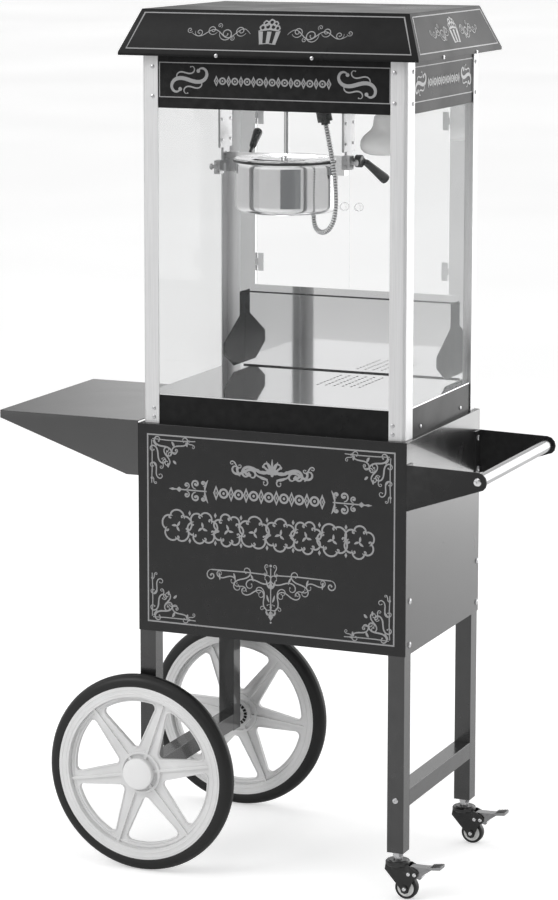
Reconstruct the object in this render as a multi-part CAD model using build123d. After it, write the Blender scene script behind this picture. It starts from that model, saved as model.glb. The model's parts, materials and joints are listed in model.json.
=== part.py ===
import math
import os

from build123d import *

# Popcorn cart. Millimetres, +Z up, front of the cart faces -Y, handle on +X.
# Shapes are drawn from the cabinet's front left corner and moved to the box centre on export.

# overall
origin_x = 185.75
origin_y = 195.0
cabinet_width = 500.0
cabinet_depth = 372.0
cabinet_bottom = 428.5
cabinet_top_z = 798.0
sheet = 1.5

# legs and wheels
leg_size = 30.0
leg_wall = 1.5
leg_top = 545.0
right_leg_bottom = 82.0
left_leg_bottom = 160.0
axle_x = 12.8
axle_z = 176.6
axle_radius = 6.0
wheel_radius = 176.6
rim_radius = 155.9
rim_inner_radius = 138.0
hub_radius = 27.0
wheel_width = 28.0
front_wheel_inner_y = -5.0
rear_wheel_inner_y = 395.0
spoke_count = 6
front_spoke_phase = 11.0
rear_spoke_phase = -6.0

# casters
caster_x = 483.5
caster_y = [16.5, 355.5]
caster_trail = 17.0
pedal_x = caster_x + 24
pedal_z = 47.0

# machine body
body_x0 = 7.0
body_x1 = 493.0
body_y0 = 9.5
body_y1 = 367.0
body_top = 1438.6
post_face = 29.5
post_side = 38.0
rail_top = 850.5
header_bottom = 1348.0
ceiling_z = 1366.0
hood_top_z = 1516.9
switch_x = [190.0, 250.0, 310.0]

# door hinges
hinge_x_left = 66.0
hinge_x_right = 442.0
hinge_y = 367.5
hinge_z = [1026.0, 1295.0]

# kettle
kettle_x = 201.0
kettle_y = 188.0
kettle_radius = 90.0
lid_radius = 94.0
tilt_z = 1252.0
pot_bottom = 1158.5
pot_top = 1250.0
hose_radius = 4.75
grip_root = (126.0, 198.0, 1256.0)
grip_tip = (124.0, 245.0, 1297.0)
lever_root = (339.0, 191.0, 1258.0)
lever_tip = (368.0, 240.0, 1216.0)
hose_end = (262.0, 166.0, 1158.0)


def box(x0, x1, y0, y1, z0, z1):
    centre = Pos((x0 + x1) / 2, (y0 + y1) / 2, (z0 + z1) / 2)
    return centre * Box(x1 - x0, y1 - y0, z1 - z0)


def rod_x(y, z, radius, x0, x1):
    return Pos((x0 + x1) / 2, y, z) * Rot(0, 90, 0) * Cylinder(radius, x1 - x0)


def rod_y(x, z, radius, y0, y1):
    return Pos(x, (y0 + y1) / 2, z) * Rot(90, 0, 0) * Cylinder(radius, y1 - y0)


def rod_z(x, y, radius, z0, z1):
    return Pos(x, y, (z0 + z1) / 2) * Cylinder(radius, z1 - z0)


def plate_y(points, y0, y1):
    face = Polyline(*[(x, z) for x, z in points], close=True)
    sketch = Plane.XZ * make_face(face)
    return Pos(0, y1, 0) * extrude(sketch, amount=y1 - y0)


def plate_x(points, x0, x1):
    face = Polyline(*[(y, z) for y, z in points], close=True)
    sketch = Plane.YZ * make_face(face)
    return Pos(x0, 0, 0) * extrude(sketch, amount=x1 - x0)


def square_tube_z(x, y, z0, z1):
    half = leg_size / 2
    inner = half - leg_wall
    outside = box(x - half, x + half, y - half, y + half, z0, z1)
    return outside - box(x - inner, x + inner, y - inner, y + inner, z0 - 1, z1 + 1)


def square_tube_y(x, z, y0, y1):
    half = leg_size / 2
    inner = half - leg_wall
    outside = box(x - half, x + half, y0, y1, z - half, z + half)
    return outside - box(x - inner, x + inner, y0 - 1, y1 + 1, z - inner, z + inner)


def revolve_about_y(points, x, z, y):
    # points are (radius, distance along +Y) pairs
    outline = Polyline(*[(r, d) for r, d in points], close=True)
    ring = revolve(make_face(outline), axis=Axis.Y)
    return Pos(x, y, z) * ring


def revolve_about_z(points, x, y):
    outline = Polyline(*[(r, z) for r, z in points], close=True)
    ring = revolve(Plane.XZ * make_face(outline), axis=Axis.Z)
    return Pos(x, y, 0) * ring


# ---- cabinet ----

def front_panel():
    skin = box(0, cabinet_width, 0, sheet, cabinet_bottom, cabinet_top_z)
    lip = box(32, cabinet_width - 32, sheet, 14, cabinet_bottom, cabinet_bottom + sheet)
    return [skin + lip]


def side_panel(side):
    wall = box(0, sheet, sheet, cabinet_depth, cabinet_bottom, cabinet_top_z)
    flange = box(
        sheet, 36, cabinet_depth - sheet, cabinet_depth,
        cabinet_bottom + sheet, cabinet_top_z - sheet,
    )
    panel = wall + flange
    if side == "right":
        panel = mirror(panel, about=Plane.YZ.offset(cabinet_width / 2))
    return [panel]


def cabinet_top():
    z1 = cabinet_top_z
    z0 = z1 - sheet
    back = cabinet_depth - sheet
    top = box(sheet, cabinet_width - sheet, sheet, cabinet_depth, z0, z1)
    flange = box(36, cabinet_width - 36, back, cabinet_depth, z0 - 12, z0)
    return [top + flange]


def cabinet_floor():
    z0 = cabinet_bottom + sheet
    z1 = z0 + sheet
    back = cabinet_depth - sheet
    floor = box(sheet, cabinet_width - sheet, sheet, back, z0, z1)
    for x in (16.5, cabinet_width - 16.5):
        for y in (16.5, cabinet_depth - 16.5):
            floor -= box(x - 15, x + 15, y - 15, y + 15, z0 - 1, z1 + 1)
    flange = box(36, cabinet_width - 36, back, cabinet_depth, z0, z0 + 16)
    return [floor + flange]


def legs():
    solids = []
    for x in (16.5, cabinet_width - 16.5):
        for y in (16.5, cabinet_depth - 16.5):
            bottom = left_leg_bottom if x < 100 else right_leg_bottom
            leg = square_tube_z(x, y, bottom, leg_top)
            if x < 100:
                leg -= rod_y(axle_x, axle_z, axle_radius + 0.05, y - 20, y + 20)
            solids.append(leg)
    return solids


def cross_members():
    y0 = 31.5
    y1 = cabinet_depth - 31.5
    beam = square_tube_y(16.5, axle_z, y0, y1)
    brace = square_tube_y(cabinet_width - 16.5, 175.0, y0, y1)
    return [beam, brace]


# ---- big wheels ----

def axle():
    rod = rod_y(axle_x, axle_z, axle_radius, -37, 427)
    front_spacer = rod_y(axle_x, axle_z, 9, front_wheel_inner_y + 0.3, sheet)
    rear_spacer = rod_y(axle_x, axle_z, 9, cabinet_depth - sheet, rear_wheel_inner_y - 0.3)
    return [rod + front_spacer + rear_spacer]


def axle_cap(face_y, out):
    # a domed push-on cap whose pocket holds the axle's end
    profile = [(0, 0), (28, 0), (28, 2.5), (24, 5), (14, 7.2), (0, 8)]
    cap = revolve_about_y([(r, d * out) for r, d in profile], axle_x, axle_z, face_y)
    pocket = rod_y(axle_x, axle_z, axle_radius, min(face_y, face_y + 3.7 * out),
                   max(face_y, face_y + 3.7 * out))
    return cap - pocket


def axle_caps():
    front = axle_cap(front_wheel_inner_y - wheel_width - 0.3, -1)
    rear = axle_cap(rear_wheel_inner_y + wheel_width + 0.3, 1)
    return [front, rear]


def spoke_opening(angle):
    # a rounded triangle between two spokes, its outer side along the rim
    inner = 54.0
    outer = 120.0
    half = 20.5

    def polar(radius, degrees):
        return (radius * math.cos(math.radians(degrees)), radius * math.sin(math.radians(degrees)))

    apex = polar(inner, angle)
    low = polar(outer, angle - half)
    high = polar(outer, angle + half)
    sides = [Line(apex, low), ThreePointArc(low, polar(outer, angle), high), Line(high, apex)]
    return offset(make_face(sides), amount=8, kind=Kind.ARC)


def wheel_rim(inner_y, out, phase):
    band = [(rim_inner_radius, 0), (rim_radius, 0), (rim_radius, wheel_width),
            (rim_inner_radius, wheel_width)]
    hub = [(axle_radius + 0.08, 0), (hub_radius, 0), (hub_radius, wheel_width),
           (axle_radius + 0.08, wheel_width)]
    web = [(hub_radius - 1, 11), (rim_inner_radius + 1, 11), (rim_inner_radius + 1, 17),
           (hub_radius - 1, 17)]
    rim = revolve_about_y(band, 0, 0, 0) + revolve_about_y(hub, 0, 0, 0)
    disc = revolve_about_y(web, 0, 0, 0)
    for index in range(spoke_count):
        angle = phase + 30 + index * 360 / spoke_count
        hole = extrude(Plane.XZ * spoke_opening(angle), amount=60, both=True)
        disc -= hole
    rim += disc
    for index in range(spoke_count):
        angle = phase + index * 360 / spoke_count
        rib = Rot(0, -angle, 0) * box(hub_radius - 2, rim_inner_radius + 2, 7, 21, -2.5, 2.5)
        rim += rib
    if out < 0:
        rim = mirror(rim, about=Plane.XZ)
    return [Pos(axle_x, inner_y, axle_z) * rim]


def wheel_tyre(inner_y, out):
    profile = [(rim_radius, 0), (rim_radius + 6, -1), (rim_radius + 14, 0),
               (wheel_radius - 1.5, 6), (wheel_radius, 11), (wheel_radius, 17),
               (wheel_radius - 1.5, 22), (rim_radius + 14, 28), (rim_radius + 6, 29),
               (rim_radius, 28)]
    points = [(r, d * out) for r, d in profile]
    return [revolve_about_y(points, axle_x, axle_z, inner_y)]


# ---- casters ----

def caster_stems():
    solids = []
    for y in caster_y:
        stem = rod_z(caster_x, y, 5, 50.9, 100)
        stem += rod_z(caster_x, y, 8, 50.9, 52)
        stem += rod_z(caster_x, y, 8, 68.3, 74)
        stem += Pos(caster_x, y, 77) * extrude(RegularPolygon(9.5, 6), amount=3, both=True)
        plug = box(caster_x - 13.5, caster_x + 13.5, y - 13.5, y + 13.5, 82, 96)
        stem += rod_z(caster_x, y, 7, 80, 82.5) + plug
        solids.append(stem)
    return solids


def caster_fork(y):
    wheel_x = caster_x + caster_trail
    head = revolve_about_z([(5.06, 52.3), (15, 52.3), (15, 58), (20, 58), (21.5, 60), (21.5, 64.5),
                            (19.5, 66.5), (17, 66.5), (16, 68), (5.06, 68)], caster_x, y)
    outline = [(caster_x - 18, 62), (caster_x + 22, 62), (caster_x + 38, 55), (caster_x + 41, 50),
               (caster_x + 40, 43), (wheel_x + 15, 36), (wheel_x + 9, 22), (wheel_x + 6, 13),
               (wheel_x, 10.5), (wheel_x - 6, 12.5), (wheel_x - 9, 20), (caster_x - 20, 51)]
    fork = head
    for side in (-1, 1):
        y0 = y + side * 10.2
        y1 = y + side * 12.6
        cheek = plate_y(outline, min(y0, y1), max(y0, y1))
        cheek -= rod_y(pedal_x, pedal_z, 2.56, y - 20, y + 20)
        fork += cheek
    fork += rod_y(wheel_x, 20, 3, y - 14.5, y + 14.5)
    fork += rod_y(pedal_x + 11, pedal_z, 2.2, y - 13.6, y + 13.6)
    for side in (-1, 1):
        y0 = y + side * 12.6
        y1 = y + side * 15.2
        fork += rod_y(wheel_x, 20, 5.5, min(y0, y1), max(y0, y1))
    return [fork]


def caster_core(y):
    wheel_x = caster_x + caster_trail
    profile = [(3.06, -8.5), (7, -9.6), (7, -7), (15, -7), (15, 7), (7, 7), (7, 9.6), (3.06, 8.5)]
    return [revolve_about_y(profile, wheel_x, 20, y)]


def caster_tyre(y):
    wheel_x = caster_x + caster_trail
    profile = [(15, -8), (17.5, -8.5), (19.4, -7), (20, -4), (20, 4), (19.4, 7), (17.5, 8.5), (15, 8)]
    return [revolve_about_y(profile, wheel_x, 20, y)]


def caster_pedal(y):
    # tread plate and brake shoe turn on the near pin and clear the far one
    x = pedal_x
    tread = [(x + 1, 57.6), (x + 28, 58.2), (x + 56, 60.9), (x + 56, 62.6), (x + 28, 60.1),
             (x + 1, 59.6)]
    pedal = plate_y(tread, y - 9.2, y + 9.2)
    tip = [(x + 38, 58.2), (x + 57, 60.1), (x + 57.5, 65.4), (x + 37, 62.4)]
    pedal += plate_y(tip, y - 11.5, y + 11.5)
    flange = [(x - 4, 43), (x + 4, 41.5), (x + 20, 41), (x + 24, 46), (x + 40, 57.5),
              (x + 40, 60.8), (x + 1, 59), (x + 1, 52), (x - 4, 50)]
    for side in (-1, 1):
        wall = plate_y(flange, min(y + side * 7.2, y + side * 9.2), max(y + side * 7.2, y + side * 9.2))
        pedal += wall
    shoe = [(x + 3, 42), (x + 19, 37.5), (x + 23, 41), (x + 20, 44), (x + 4, 45)]
    pedal += plate_y(shoe, y - 8, y + 8)
    pedal += rod_y(x, pedal_z, 2.5, y - 13.6, y + 13.6)
    pedal -= rod_y(x + 11, pedal_z, 3.6, y - 15, y + 15)
    return [pedal]


# ---- tray and handle ----

def tray_shelf():
    top = box(-272, 0, 0, cabinet_depth, 800.5, 802)
    lip = box(-272, -270.5, 0, cabinet_depth, 788, 800.5)
    return [top + lip]


def tray_brackets():
    outline = [(-270.5, 788), (-23, 704.5), (0, 704.5), (0, 800.5), (-270.5, 800.5)]
    front = plate_y(outline, 0, sheet) + box(-sheet, 0, sheet, 22, 704.5, 797)
    back = mirror(front, about=Plane.XZ.offset(-cabinet_depth / 2))
    return [front, back]


def handle_arms():
    outline = [(500, 681), (500, 760.5), (626.5, 757.5), (635, 755.2), (640.8, 749),
               (643, 741), (641, 732.5), (636, 727.2), (631, 725.8)]
    front = plate_y(outline, 0, 2.5) + box(500, 502.5, 2.5, 26, 681, 760.5)
    back = mirror(front, about=Plane.XZ.offset(-cabinet_depth / 2))
    return [front, back]


def handle_tube():
    tube = rod_y(626.5, 741, 11, 2.5, cabinet_depth - 2.5)
    return [tube - rod_y(626.5, 741, 9.5, 2.5, cabinet_depth - 2.5)]


# ---- machine body ----

def corner_posts():
    solids = []
    for left in (True, False):
        for front in (True, False):
            side = post_side if front else 26.0
            outer = Pos(post_face / 2, side / 2, (cabinet_top_z + body_top) / 2) * Box(
                post_face, side, body_top - cabinet_top_z)
            corner = outer.edges().filter_by(Axis.Z).sort_by(Axis.X)[:2].sort_by(Axis.Y)[0]
            outer = fillet(corner, 6)
            inner = box(2, 60, 2, 60, cabinet_top_z - 1, body_top + 1)
            post = outer - inner
            if not left:
                post = mirror(post, about=Plane.YZ.offset((body_x1 - body_x0) / 2))
            if not front:
                post = mirror(post, about=Plane.XZ.offset(-(body_y1 - body_y0) / 2))
            solids.append(Pos(body_x0, body_y0, 0) * post)
    return solids


def base_rails():
    # the back rail has the crumb drawer's opening
    z0 = cabinet_top_z
    z1 = rail_top - 2
    front = box(9, 491, 11.5, 13, z0, z1)
    back = box(9, 491, 363.5, 365, z0, z1) - box(230, 414, 360, 370, 803, 845)
    left = box(9, 10.5, 13, 363.5, z0, z1)
    right = box(489.5, 491, 13, 363.5, z0, z1)
    return [front, back, left, right]


def deck():
    plate = box(10.5, 489.5, 13, 363.5, rail_top - 2, rail_top - 0.5)
    for column in range(6):
        for row in range(8):
            x = 252 + column * 16
            y = 212 + row * 15.5
            plate -= box(x - 1.75, x + 1.75, y - 4.5, y + 4.5, 840, 860)
    rim = []
    for x0, x1, y0, y1 in ((9, 491, 11.5, 13), (9, 491, 363.5, 365), (9, 10.5, 13, 363.5),
                           (489.5, 491, 13, 363.5)):
        rim.append(box(x0, x1, y0, y1, rail_top - 2, rail_top - 0.5))
    for edge in rim:
        plate += edge
    return [plate]


def crumb_drawer():
    x0 = 233
    x1 = 411
    tray = box(x0, x1, 198, 365.3, 806, 842) - box(x0 + 1.2, x1 - 1.2, 199.2, 364.1, 807.2, 850)
    face = box(226, 418, 365.3, 366.8, 801, 847.5)
    lip = box(226, 418, 366.8, 379, 846, 847.5)
    return [tray + face + lip]


def drawer_runners():
    left = box(226, 245, 190, 363.5, 804.3, 805.7) + box(230.5, 232, 190, 363.5, 805.7, 815)
    right = mirror(left, about=Plane.YZ.offset(322))
    return [left, right]


def glass_panes():
    z0 = rail_top - 0.5
    z1 = header_bottom + 12
    front = box(13.5, 486.5, 13, 16, z0, z1)
    left = box(10.5, 13.5, 16, 339, z0, z1)
    right = box(486.5, 489.5, 16, 339, z0, z1)
    return [front, left, right]


def rear_panel():
    panel = box(43, 464, 362, 363.5, rail_top - 0.5, 989)
    strip = box(43, 463, 362, 369, 989, 1001)
    return [panel + strip]


def door_stiles():
    # each stile carries the fixed half of two hinges
    z0 = rail_top - 0.5
    z1 = header_bottom + 8
    left = box(36.5, hinge_x_left, 362, 363.5, 1001, z1) + box(36.5, 43, 362, 363.5, z0, 1001)
    right = box(hinge_x_right, 470, 362, 363.5, 1001, z1) + box(464, 470, 362, 363.5, z0, 1001)
    solids = [left, right]
    for x, out in ((hinge_x_left, -1), (hinge_x_right, 1)):
        for z in hinge_z:
            leaf = box(min(x, x + 14 * out), max(x, x + 14 * out), 363.5, 365, z, z + 33)
            for low, high in ((0, 10), (23, 33)):
                leaf += rod_z(x, hinge_y, 2.5, z + low, z + high)
                leaf += box(min(x, x + 2.5 * out), max(x, x + 2.5 * out), 363.5, hinge_y,
                            z + low, z + high)
            leaf += rod_z(x, hinge_y, 1.2, z, z + 33)
            solids.append(leaf)
    return solids


def glass_door(side):
    x0, x1 = (hinge_x_left + 3, 249.6) if side == "left" else (250.4, hinge_x_right - 3)
    knob_x = 236 if side == "left" else 264
    knob = revolve_about_y([(0, 0), (6, 0), (5, 5), (8, 9), (8, 14), (6, 16), (0, 16)],
                           knob_x, 1150, 364.8)
    return [box(x0, x1, 362, 364.8, 1003, header_bottom - 3) + knob]


def door_fittings(side):
    x, out = (hinge_x_left, 1) if side == "left" else (hinge_x_right, -1)
    solids = []
    for z in hinge_z:
        leaf = rod_z(x, hinge_y, 2.5, z + 10.4, z + 22.6)
        leaf += box(min(x, x + 15 * out), max(x, x + 15 * out), 365.2, 366.4, z + 10.4, z + 22.6)
        leaf -= rod_z(x, hinge_y, 1.26, z, z + 33)
        leaf += box(min(x + 4 * out, x + 15 * out), max(x + 4 * out, x + 15 * out),
                    364.8, 366.4, z, z + 33)
        solids.append(leaf)
    return solids


def rear_wings():
    solids = []
    for x in (44.0, 454.0):
        outline = [(340, 945), (268, 903), (268, 882), (312, 856), (340, 856)]
        wing = plate_x(outline, x, x + sheet)
        wing += box(x, x + sheet, 340, 362, 856, 989)
        solids.append(wing)
    return solids


def header_panels():
    z0 = header_bottom
    z1 = body_top
    front = box(9, 491, 11.5, 13, z0, z1)
    left = box(9, 10.5, 13, 363.5, z0, z1)
    right = box(489.5, 491, 13, 363.5, z0, z1)
    return [front, left, right]


def control_panel():
    panel = box(9, 491, 363.5, 365, header_bottom, body_top)
    for x in switch_x:
        panel -= box(x - 9.5, x + 9.5, 360, 368, 1381, 1409)
    panel -= box(400, 430, 360, 368, 1380, 1405)
    return [panel]


def rocker(x):
    # a rocker held on a short cross pin
    outline = [(362.5, 1384), (366.2, 1383.2), (368.5, 1383.2), (366.9, 1395), (370.4, 1406.8),
               (366.2, 1406.8), (362.5, 1406)]
    return [plate_x(outline, x - 7.5, x + 7.5) + rod_x(364, 1395, 1.5, x - 9, x + 9)]


def switch_frames():
    solids = []
    for x in switch_x:
        frame = box(x - 12, x + 12, 365, 366.5, 1378, 1412)
        frame += box(x - 9.5, x + 9.5, 348, 365, 1381, 1409)
        frame -= box(x - 8, x + 8, 356, 368, 1381.9, 1408.1)
        frame -= rod_x(364, 1395, 1.56, x - 9.2, x + 9.2)
        solids.append(frame)
    return solids


def mains_inlet():
    shell = box(400, 430, 352, 365, 1380, 1405) + box(396, 434, 365, 367, 1376, 1409)
    shell -= box(403, 427, 356, 370, 1384, 1401)
    for x in (409, 415, 421):
        shell += box(x - 1, x + 1, 356, 364, 1390, 1395)
    return [shell]


def ceiling_plate():
    z0 = ceiling_z
    plate = box(10.5, 489.5, 17, 363.5, z0, z0 + 1.5)
    plate -= rod_z(kettle_x, kettle_y, 14, z0 - 5, z0 + 5)
    return [plate]


def hood():
    z0 = body_top
    base = Pos(250, 188.2, z0) * Rectangle(549.2, 419.8)
    lip_top = Pos(250, 188.2, z0 + 5) * Rectangle(549.2, 419.8)
    top = Pos(250, 188.2, hood_top_z) * Rectangle(489.6, 349.2)
    shell = extrude(base, amount=5) + loft([lip_top, top])
    inner_base = Pos(250, 188.2, z0 + 1.5) * Rectangle(546.2, 416.8)
    inner_lip = Pos(250, 188.2, z0 + 5) * Rectangle(546.2, 416.8)
    inner_top = Pos(250, 188.2, hood_top_z - 1.5) * Rectangle(487, 346.6)
    hollow = extrude(inner_base, amount=3.5) + loft([inner_lip, inner_top])
    mouth = box(10.5, 489.5, 13, 363.5, z0 - 1, z0 + 3)
    return [shell - hollow - mouth]


def gear_motor():
    x = kettle_x
    y = kettle_y
    body = box(x - 40, x + 40, y - 35, y + 35, 1390, 1425)
    can = rod_x(y, 1407, 29, x + 40, x + 110)
    shaft = rod_z(x, y, 5, 1385, 1390)
    feet = box(x - 52, x + 52, y - 30, y - 24, 1367.5, 1390)
    feet += box(x - 52, x + 52, y + 24, y + 30, 1367.5, 1390)
    return [body + can + shaft + feet]


# ---- kettle ----

def kettle_hangers():
    solids = []
    for x, out in ((84.0, -1), (318.0, 1)):
        plate = box(x - 2, x + 2, kettle_y - 27, kettle_y + 25, 1268, ceiling_z)
        plate += box(x - 2, x + 2, kettle_y - 14, kettle_y + 14, 1240, 1268)
        plate -= rod_x(kettle_y, tilt_z, 5.06, x - 5, x + 5)
        foot = box(min(x, x + 16 * out), max(x, x + 16 * out), kettle_y - 27, kettle_y + 25,
                   ceiling_z - 2, ceiling_z)
        solids.append(plate + foot)
    return solids


def kettle_pot():
    x = kettle_x
    y = kettle_y
    r = kettle_radius
    floor_z = pot_bottom
    rim_z = pot_top
    shell = revolve_about_z([(0, floor_z), (74, floor_z), (r - 3, floor_z + 3.5), (r, floor_z + 11),
                             (r, rim_z - 4), (r + 2.5, rim_z - 2.5), (r + 2.5, rim_z),
                             (r - 3, rim_z), (r - 3, floor_z + 17), (r - 8, floor_z + 11),
                             (60, floor_z + 6), (0, floor_z + 6)], x, y)
    left_pin = rod_x(y, tilt_z, 5, 80, 92)
    right_pin = rod_x(y, tilt_z, 5, 310, 332)
    gland = rod_z(hose_end[0], hose_end[1], 8, hose_end[2], hose_end[2] + 11)
    shell += gland
    for pin, x0, x1 in ((left_pin, 88, 116), (right_pin, 286, 314)):
        ear = box(x0, x1, y - 8, y + 8, 1226, 1260)
        ear -= rod_z(x, y, r + 4.4, 1246, 1262)
        ear -= rod_z(x, y, r, 1200, 1247)
        shell += pin + ear
    return [shell]


def kettle_lid():
    # fixed half of the lid with the crossbar and the stirrer's bearing
    x = kettle_x
    y = kettle_y
    disc = rod_z(x, y, lid_radius, 1250, 1253)
    half = disc & box(x - 100, x + 100, y - 100, y, 1240, 1270)
    half += box(x - 80, x + 80, y - 9, y - 1, 1253, 1257)
    half += rod_z(x, y, 11, 1250, 1257)
    half -= rod_z(x, y, 4.56, 1240, 1290)
    return [half]


def lid_flap():
    x = kettle_x
    y = kettle_y
    disc = rod_z(x, y, lid_radius, 1250.3, 1253)
    half = disc & box(x - 100, x + 100, y + 0.6, y + 100, 1240, 1270)
    half -= rod_z(x, y, 12.5, 1240, 1290)
    for sign in (-1, 1):
        half += box(x + sign * 55 - 12, x + sign * 55 + 12, y + 0.6, y + 10, 1252.5, 1254.5)
    return [half]


def lid_grip():
    # leans back from the flap so a hand behind the cart can lift it
    along = Plane(origin=grip_root, z_dir=Vector(*grip_tip) - Vector(*grip_root))
    stem = along * Pos(0, 0, 10) * Cylinder(3, 20)
    foot = rod_z(grip_root[0], grip_root[1] - 1.5, 3.6, 1253, 1259)
    grip = along * Pos(0, 0, 38) * Cone(6, 8.5, 40)
    return [stem + foot + grip]


def dump_lever():
    # sleeve on the right trunnion end with the operator's grip
    sleeve = rod_x(kettle_y, tilt_z, 11, 332, 344)
    along = Plane(origin=lever_root, z_dir=Vector(*lever_tip) - Vector(*lever_root))
    arm = along * Pos(0, 0, 9) * Cylinder(4, 18)
    grip = along * Pos(0, 0, 43) * Cone(6, 9, 56)
    return [sleeve + arm + grip]


def stirrer():
    x = kettle_x
    y = kettle_y
    rod = rod_z(x, y, 4.5, 1166, 1352)
    tang = box(x - 1.9, x + 1.9, y - 4, y + 4, 1352, 1362)
    blade = box(x - 66, x + 66, y - 1.2, y + 1.2, 1169, 1176)
    cross = box(x - 1.2, x + 1.2, y - 56, y + 56, 1169, 1174)
    boss = rod_z(x, y, 8, 1166, 1182)
    return [rod + tang + blade + cross + boss]


def drive_coupling():
    # open fork: the stirrer's tang leaves it sideways along Y when the kettle tips
    x = kettle_x
    y = kettle_y
    body = rod_z(x, y, 10, 1352.5, 1384.6)
    body -= box(x - 2.25, x + 2.25, y - 12, y + 12, 1350, 1363)
    return [body]


def plug_axis():
    # the plug leans a little to the right below its socket
    return Pos(289, 140, 1345) * Rot(0, -12, 0)


def kettle_plug():
    body = plug_axis() * Pos(0, 0, -12) * Cylinder(13, 22)
    nut = plug_axis() * Pos(0, 0, -25.5) * extrude(RegularPolygon(8.5, 6), amount=2.5, both=True)
    cap = rod_z(289, 140, 15, 1340, ceiling_z)
    return [body + nut + cap]


def lamp_holder():
    return [rod_z(385, 200, 20, 1336, ceiling_z)]


def lamp_bulb():
    profile = [(0, 1263), (30, 1264.5), (44, 1272), (47, 1284), (46, 1295), (38, 1312),
               (24, 1328), (16, 1336), (0, 1336)]
    return [revolve_about_z(profile, 385, 200)]


def hose():
    # leaves the plug along its axis and enters the pot's gland from straight below
    start_point = plug_axis() * Pos(0, 0, -28)
    second_point = plug_axis() * Pos(0, 0, -50)
    route = [start_point.position, second_point.position, (314, 135, 1232), (318, 133, 1168),
             (305, 141, 1138), (283, 153, 1126), (hose_end[0], hose_end[1], 1136), hose_end]
    radii = []
    for index in range(1, len(route) - 1):
        before = Vector(route[index]) - Vector(route[index - 1])
        after = Vector(route[index + 1]) - Vector(route[index])
        turn = math.radians(before.get_angle(after))
        shorter = min(before.length, after.length)
        radii.append(0.45 * shorter / math.tan(turn / 2))
    print("hose route", [tuple(round(value, 2) for value in Vector(point)) for point in route])
    print("hose radii", [round(radius, 1) for radius in radii])
    path = FilletPolyline(*route, radius=radii)
    start = Plane(origin=path @ 0, z_dir=path % 0)
    tube = sweep(start * Circle(hose_radius), path=path)
    section = math.pi * hose_radius ** 2
    print("hose volume", round(tube.volume), "section x length", round(section * path.length))
    print("hose length", round(path.length, 1))
    return [tube]


def screw_y(x, z, y, out, radius=5.0):
    head = rod_y(x, z, radius, min(y, y + 2.5 * out), max(y, y + 2.5 * out))
    return head


def screw_x(y, z, x, out, radius=5.0):
    return rod_x(y, z, radius, min(x, x + 2.5 * out), max(x, x + 2.5 * out))


def fasteners():
    solids = []
    for x in (26.6, 471):
        for z in (1418.5, 1367.5, 824, 809):
            solids.append(screw_y(x, z, body_y0, -1, 3.5))
    for y in (39, 351):
        for z in (1419, 1365.5):
            solids.append(screw_x(y, z, body_x1, 1, 3.5))
            solids.append(screw_x(y, z, body_x0, -1, 3.5))
    for y in (20, 362):
        for z in (522, 446):
            solids.append(screw_x(y, z, cabinet_width, 1))
            solids.append(screw_x(y, z, 0, -1))
    solids.append(screw_y(cabinet_width - 16.5, 174.5, sheet, -1))
    solids.append(screw_y(cabinet_width - 16.5, 174.5, cabinet_depth - sheet, 1))
    for y in (14, cabinet_depth - 14):
        for z in (747.5, 692):
            solids.append(screw_x(y, z, 502.5, 1))
    for y in (0, cabinet_depth):
        solids.append(screw_y(626.5, 741, y, -1 if y == 0 else 1, 7.0))
    return solids


def storage_door():
    skin = box(37, 463, 370.5, 372, 447, 783)
    for x0, x1, z0, z1 in ((37, 38.2, 447, 783), (461.8, 463, 447, 783), (37, 463, 447, 448.2),
                           (37, 463, 781.8, 783)):
        skin += box(x0, x1, 358, 370.5, z0, z1)
    slot = box(438, 450, 365, 375, 590, 650)
    skin -= slot
    for z in (500, 690):
        knuckle = rod_z(36, 375.5, 3, z + 12.4, z + 27.6) - rod_z(36, 375.5, 1.56, z, z + 40)
        leaf = box(39.5, 53, 372, 373.5, z, z + 40)
        arm = box(36, 41.5, 375, 378.4, z + 12.4, z + 27.6)
        arm += box(39.5, 42, 373.5, 378.4, z + 12.4, z + 27.6)
        arm -= rod_z(36, 375.5, 1.56, z, z + 40)
        skin += knuckle + leaf + arm
    return [skin]


def door_hinges():
    solids = []
    for z in (500, 690):
        leaf = box(16, 32, 372, 373.5, z, z + 40)
        for low, high in ((0, 12), (28, 40)):
            arm = box(31, 34, 372, 377.4, z + low, z + high)
            leaf += rod_z(36, 375.5, 3, z + low, z + high) + arm
        leaf += rod_z(36, 375.5, 1.5, z, z + 40)
        solids.append(leaf)
    return solids


def save(name, solids):
    shift = Pos(-origin_x, -origin_y, 0)
    placed = []
    for solid in solids:
        for piece in solid.solids():
            placed.append(shift * piece)
    node = Compound(label=name, children=placed)
    export_step(node, "parts/" + name + ".step")


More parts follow.
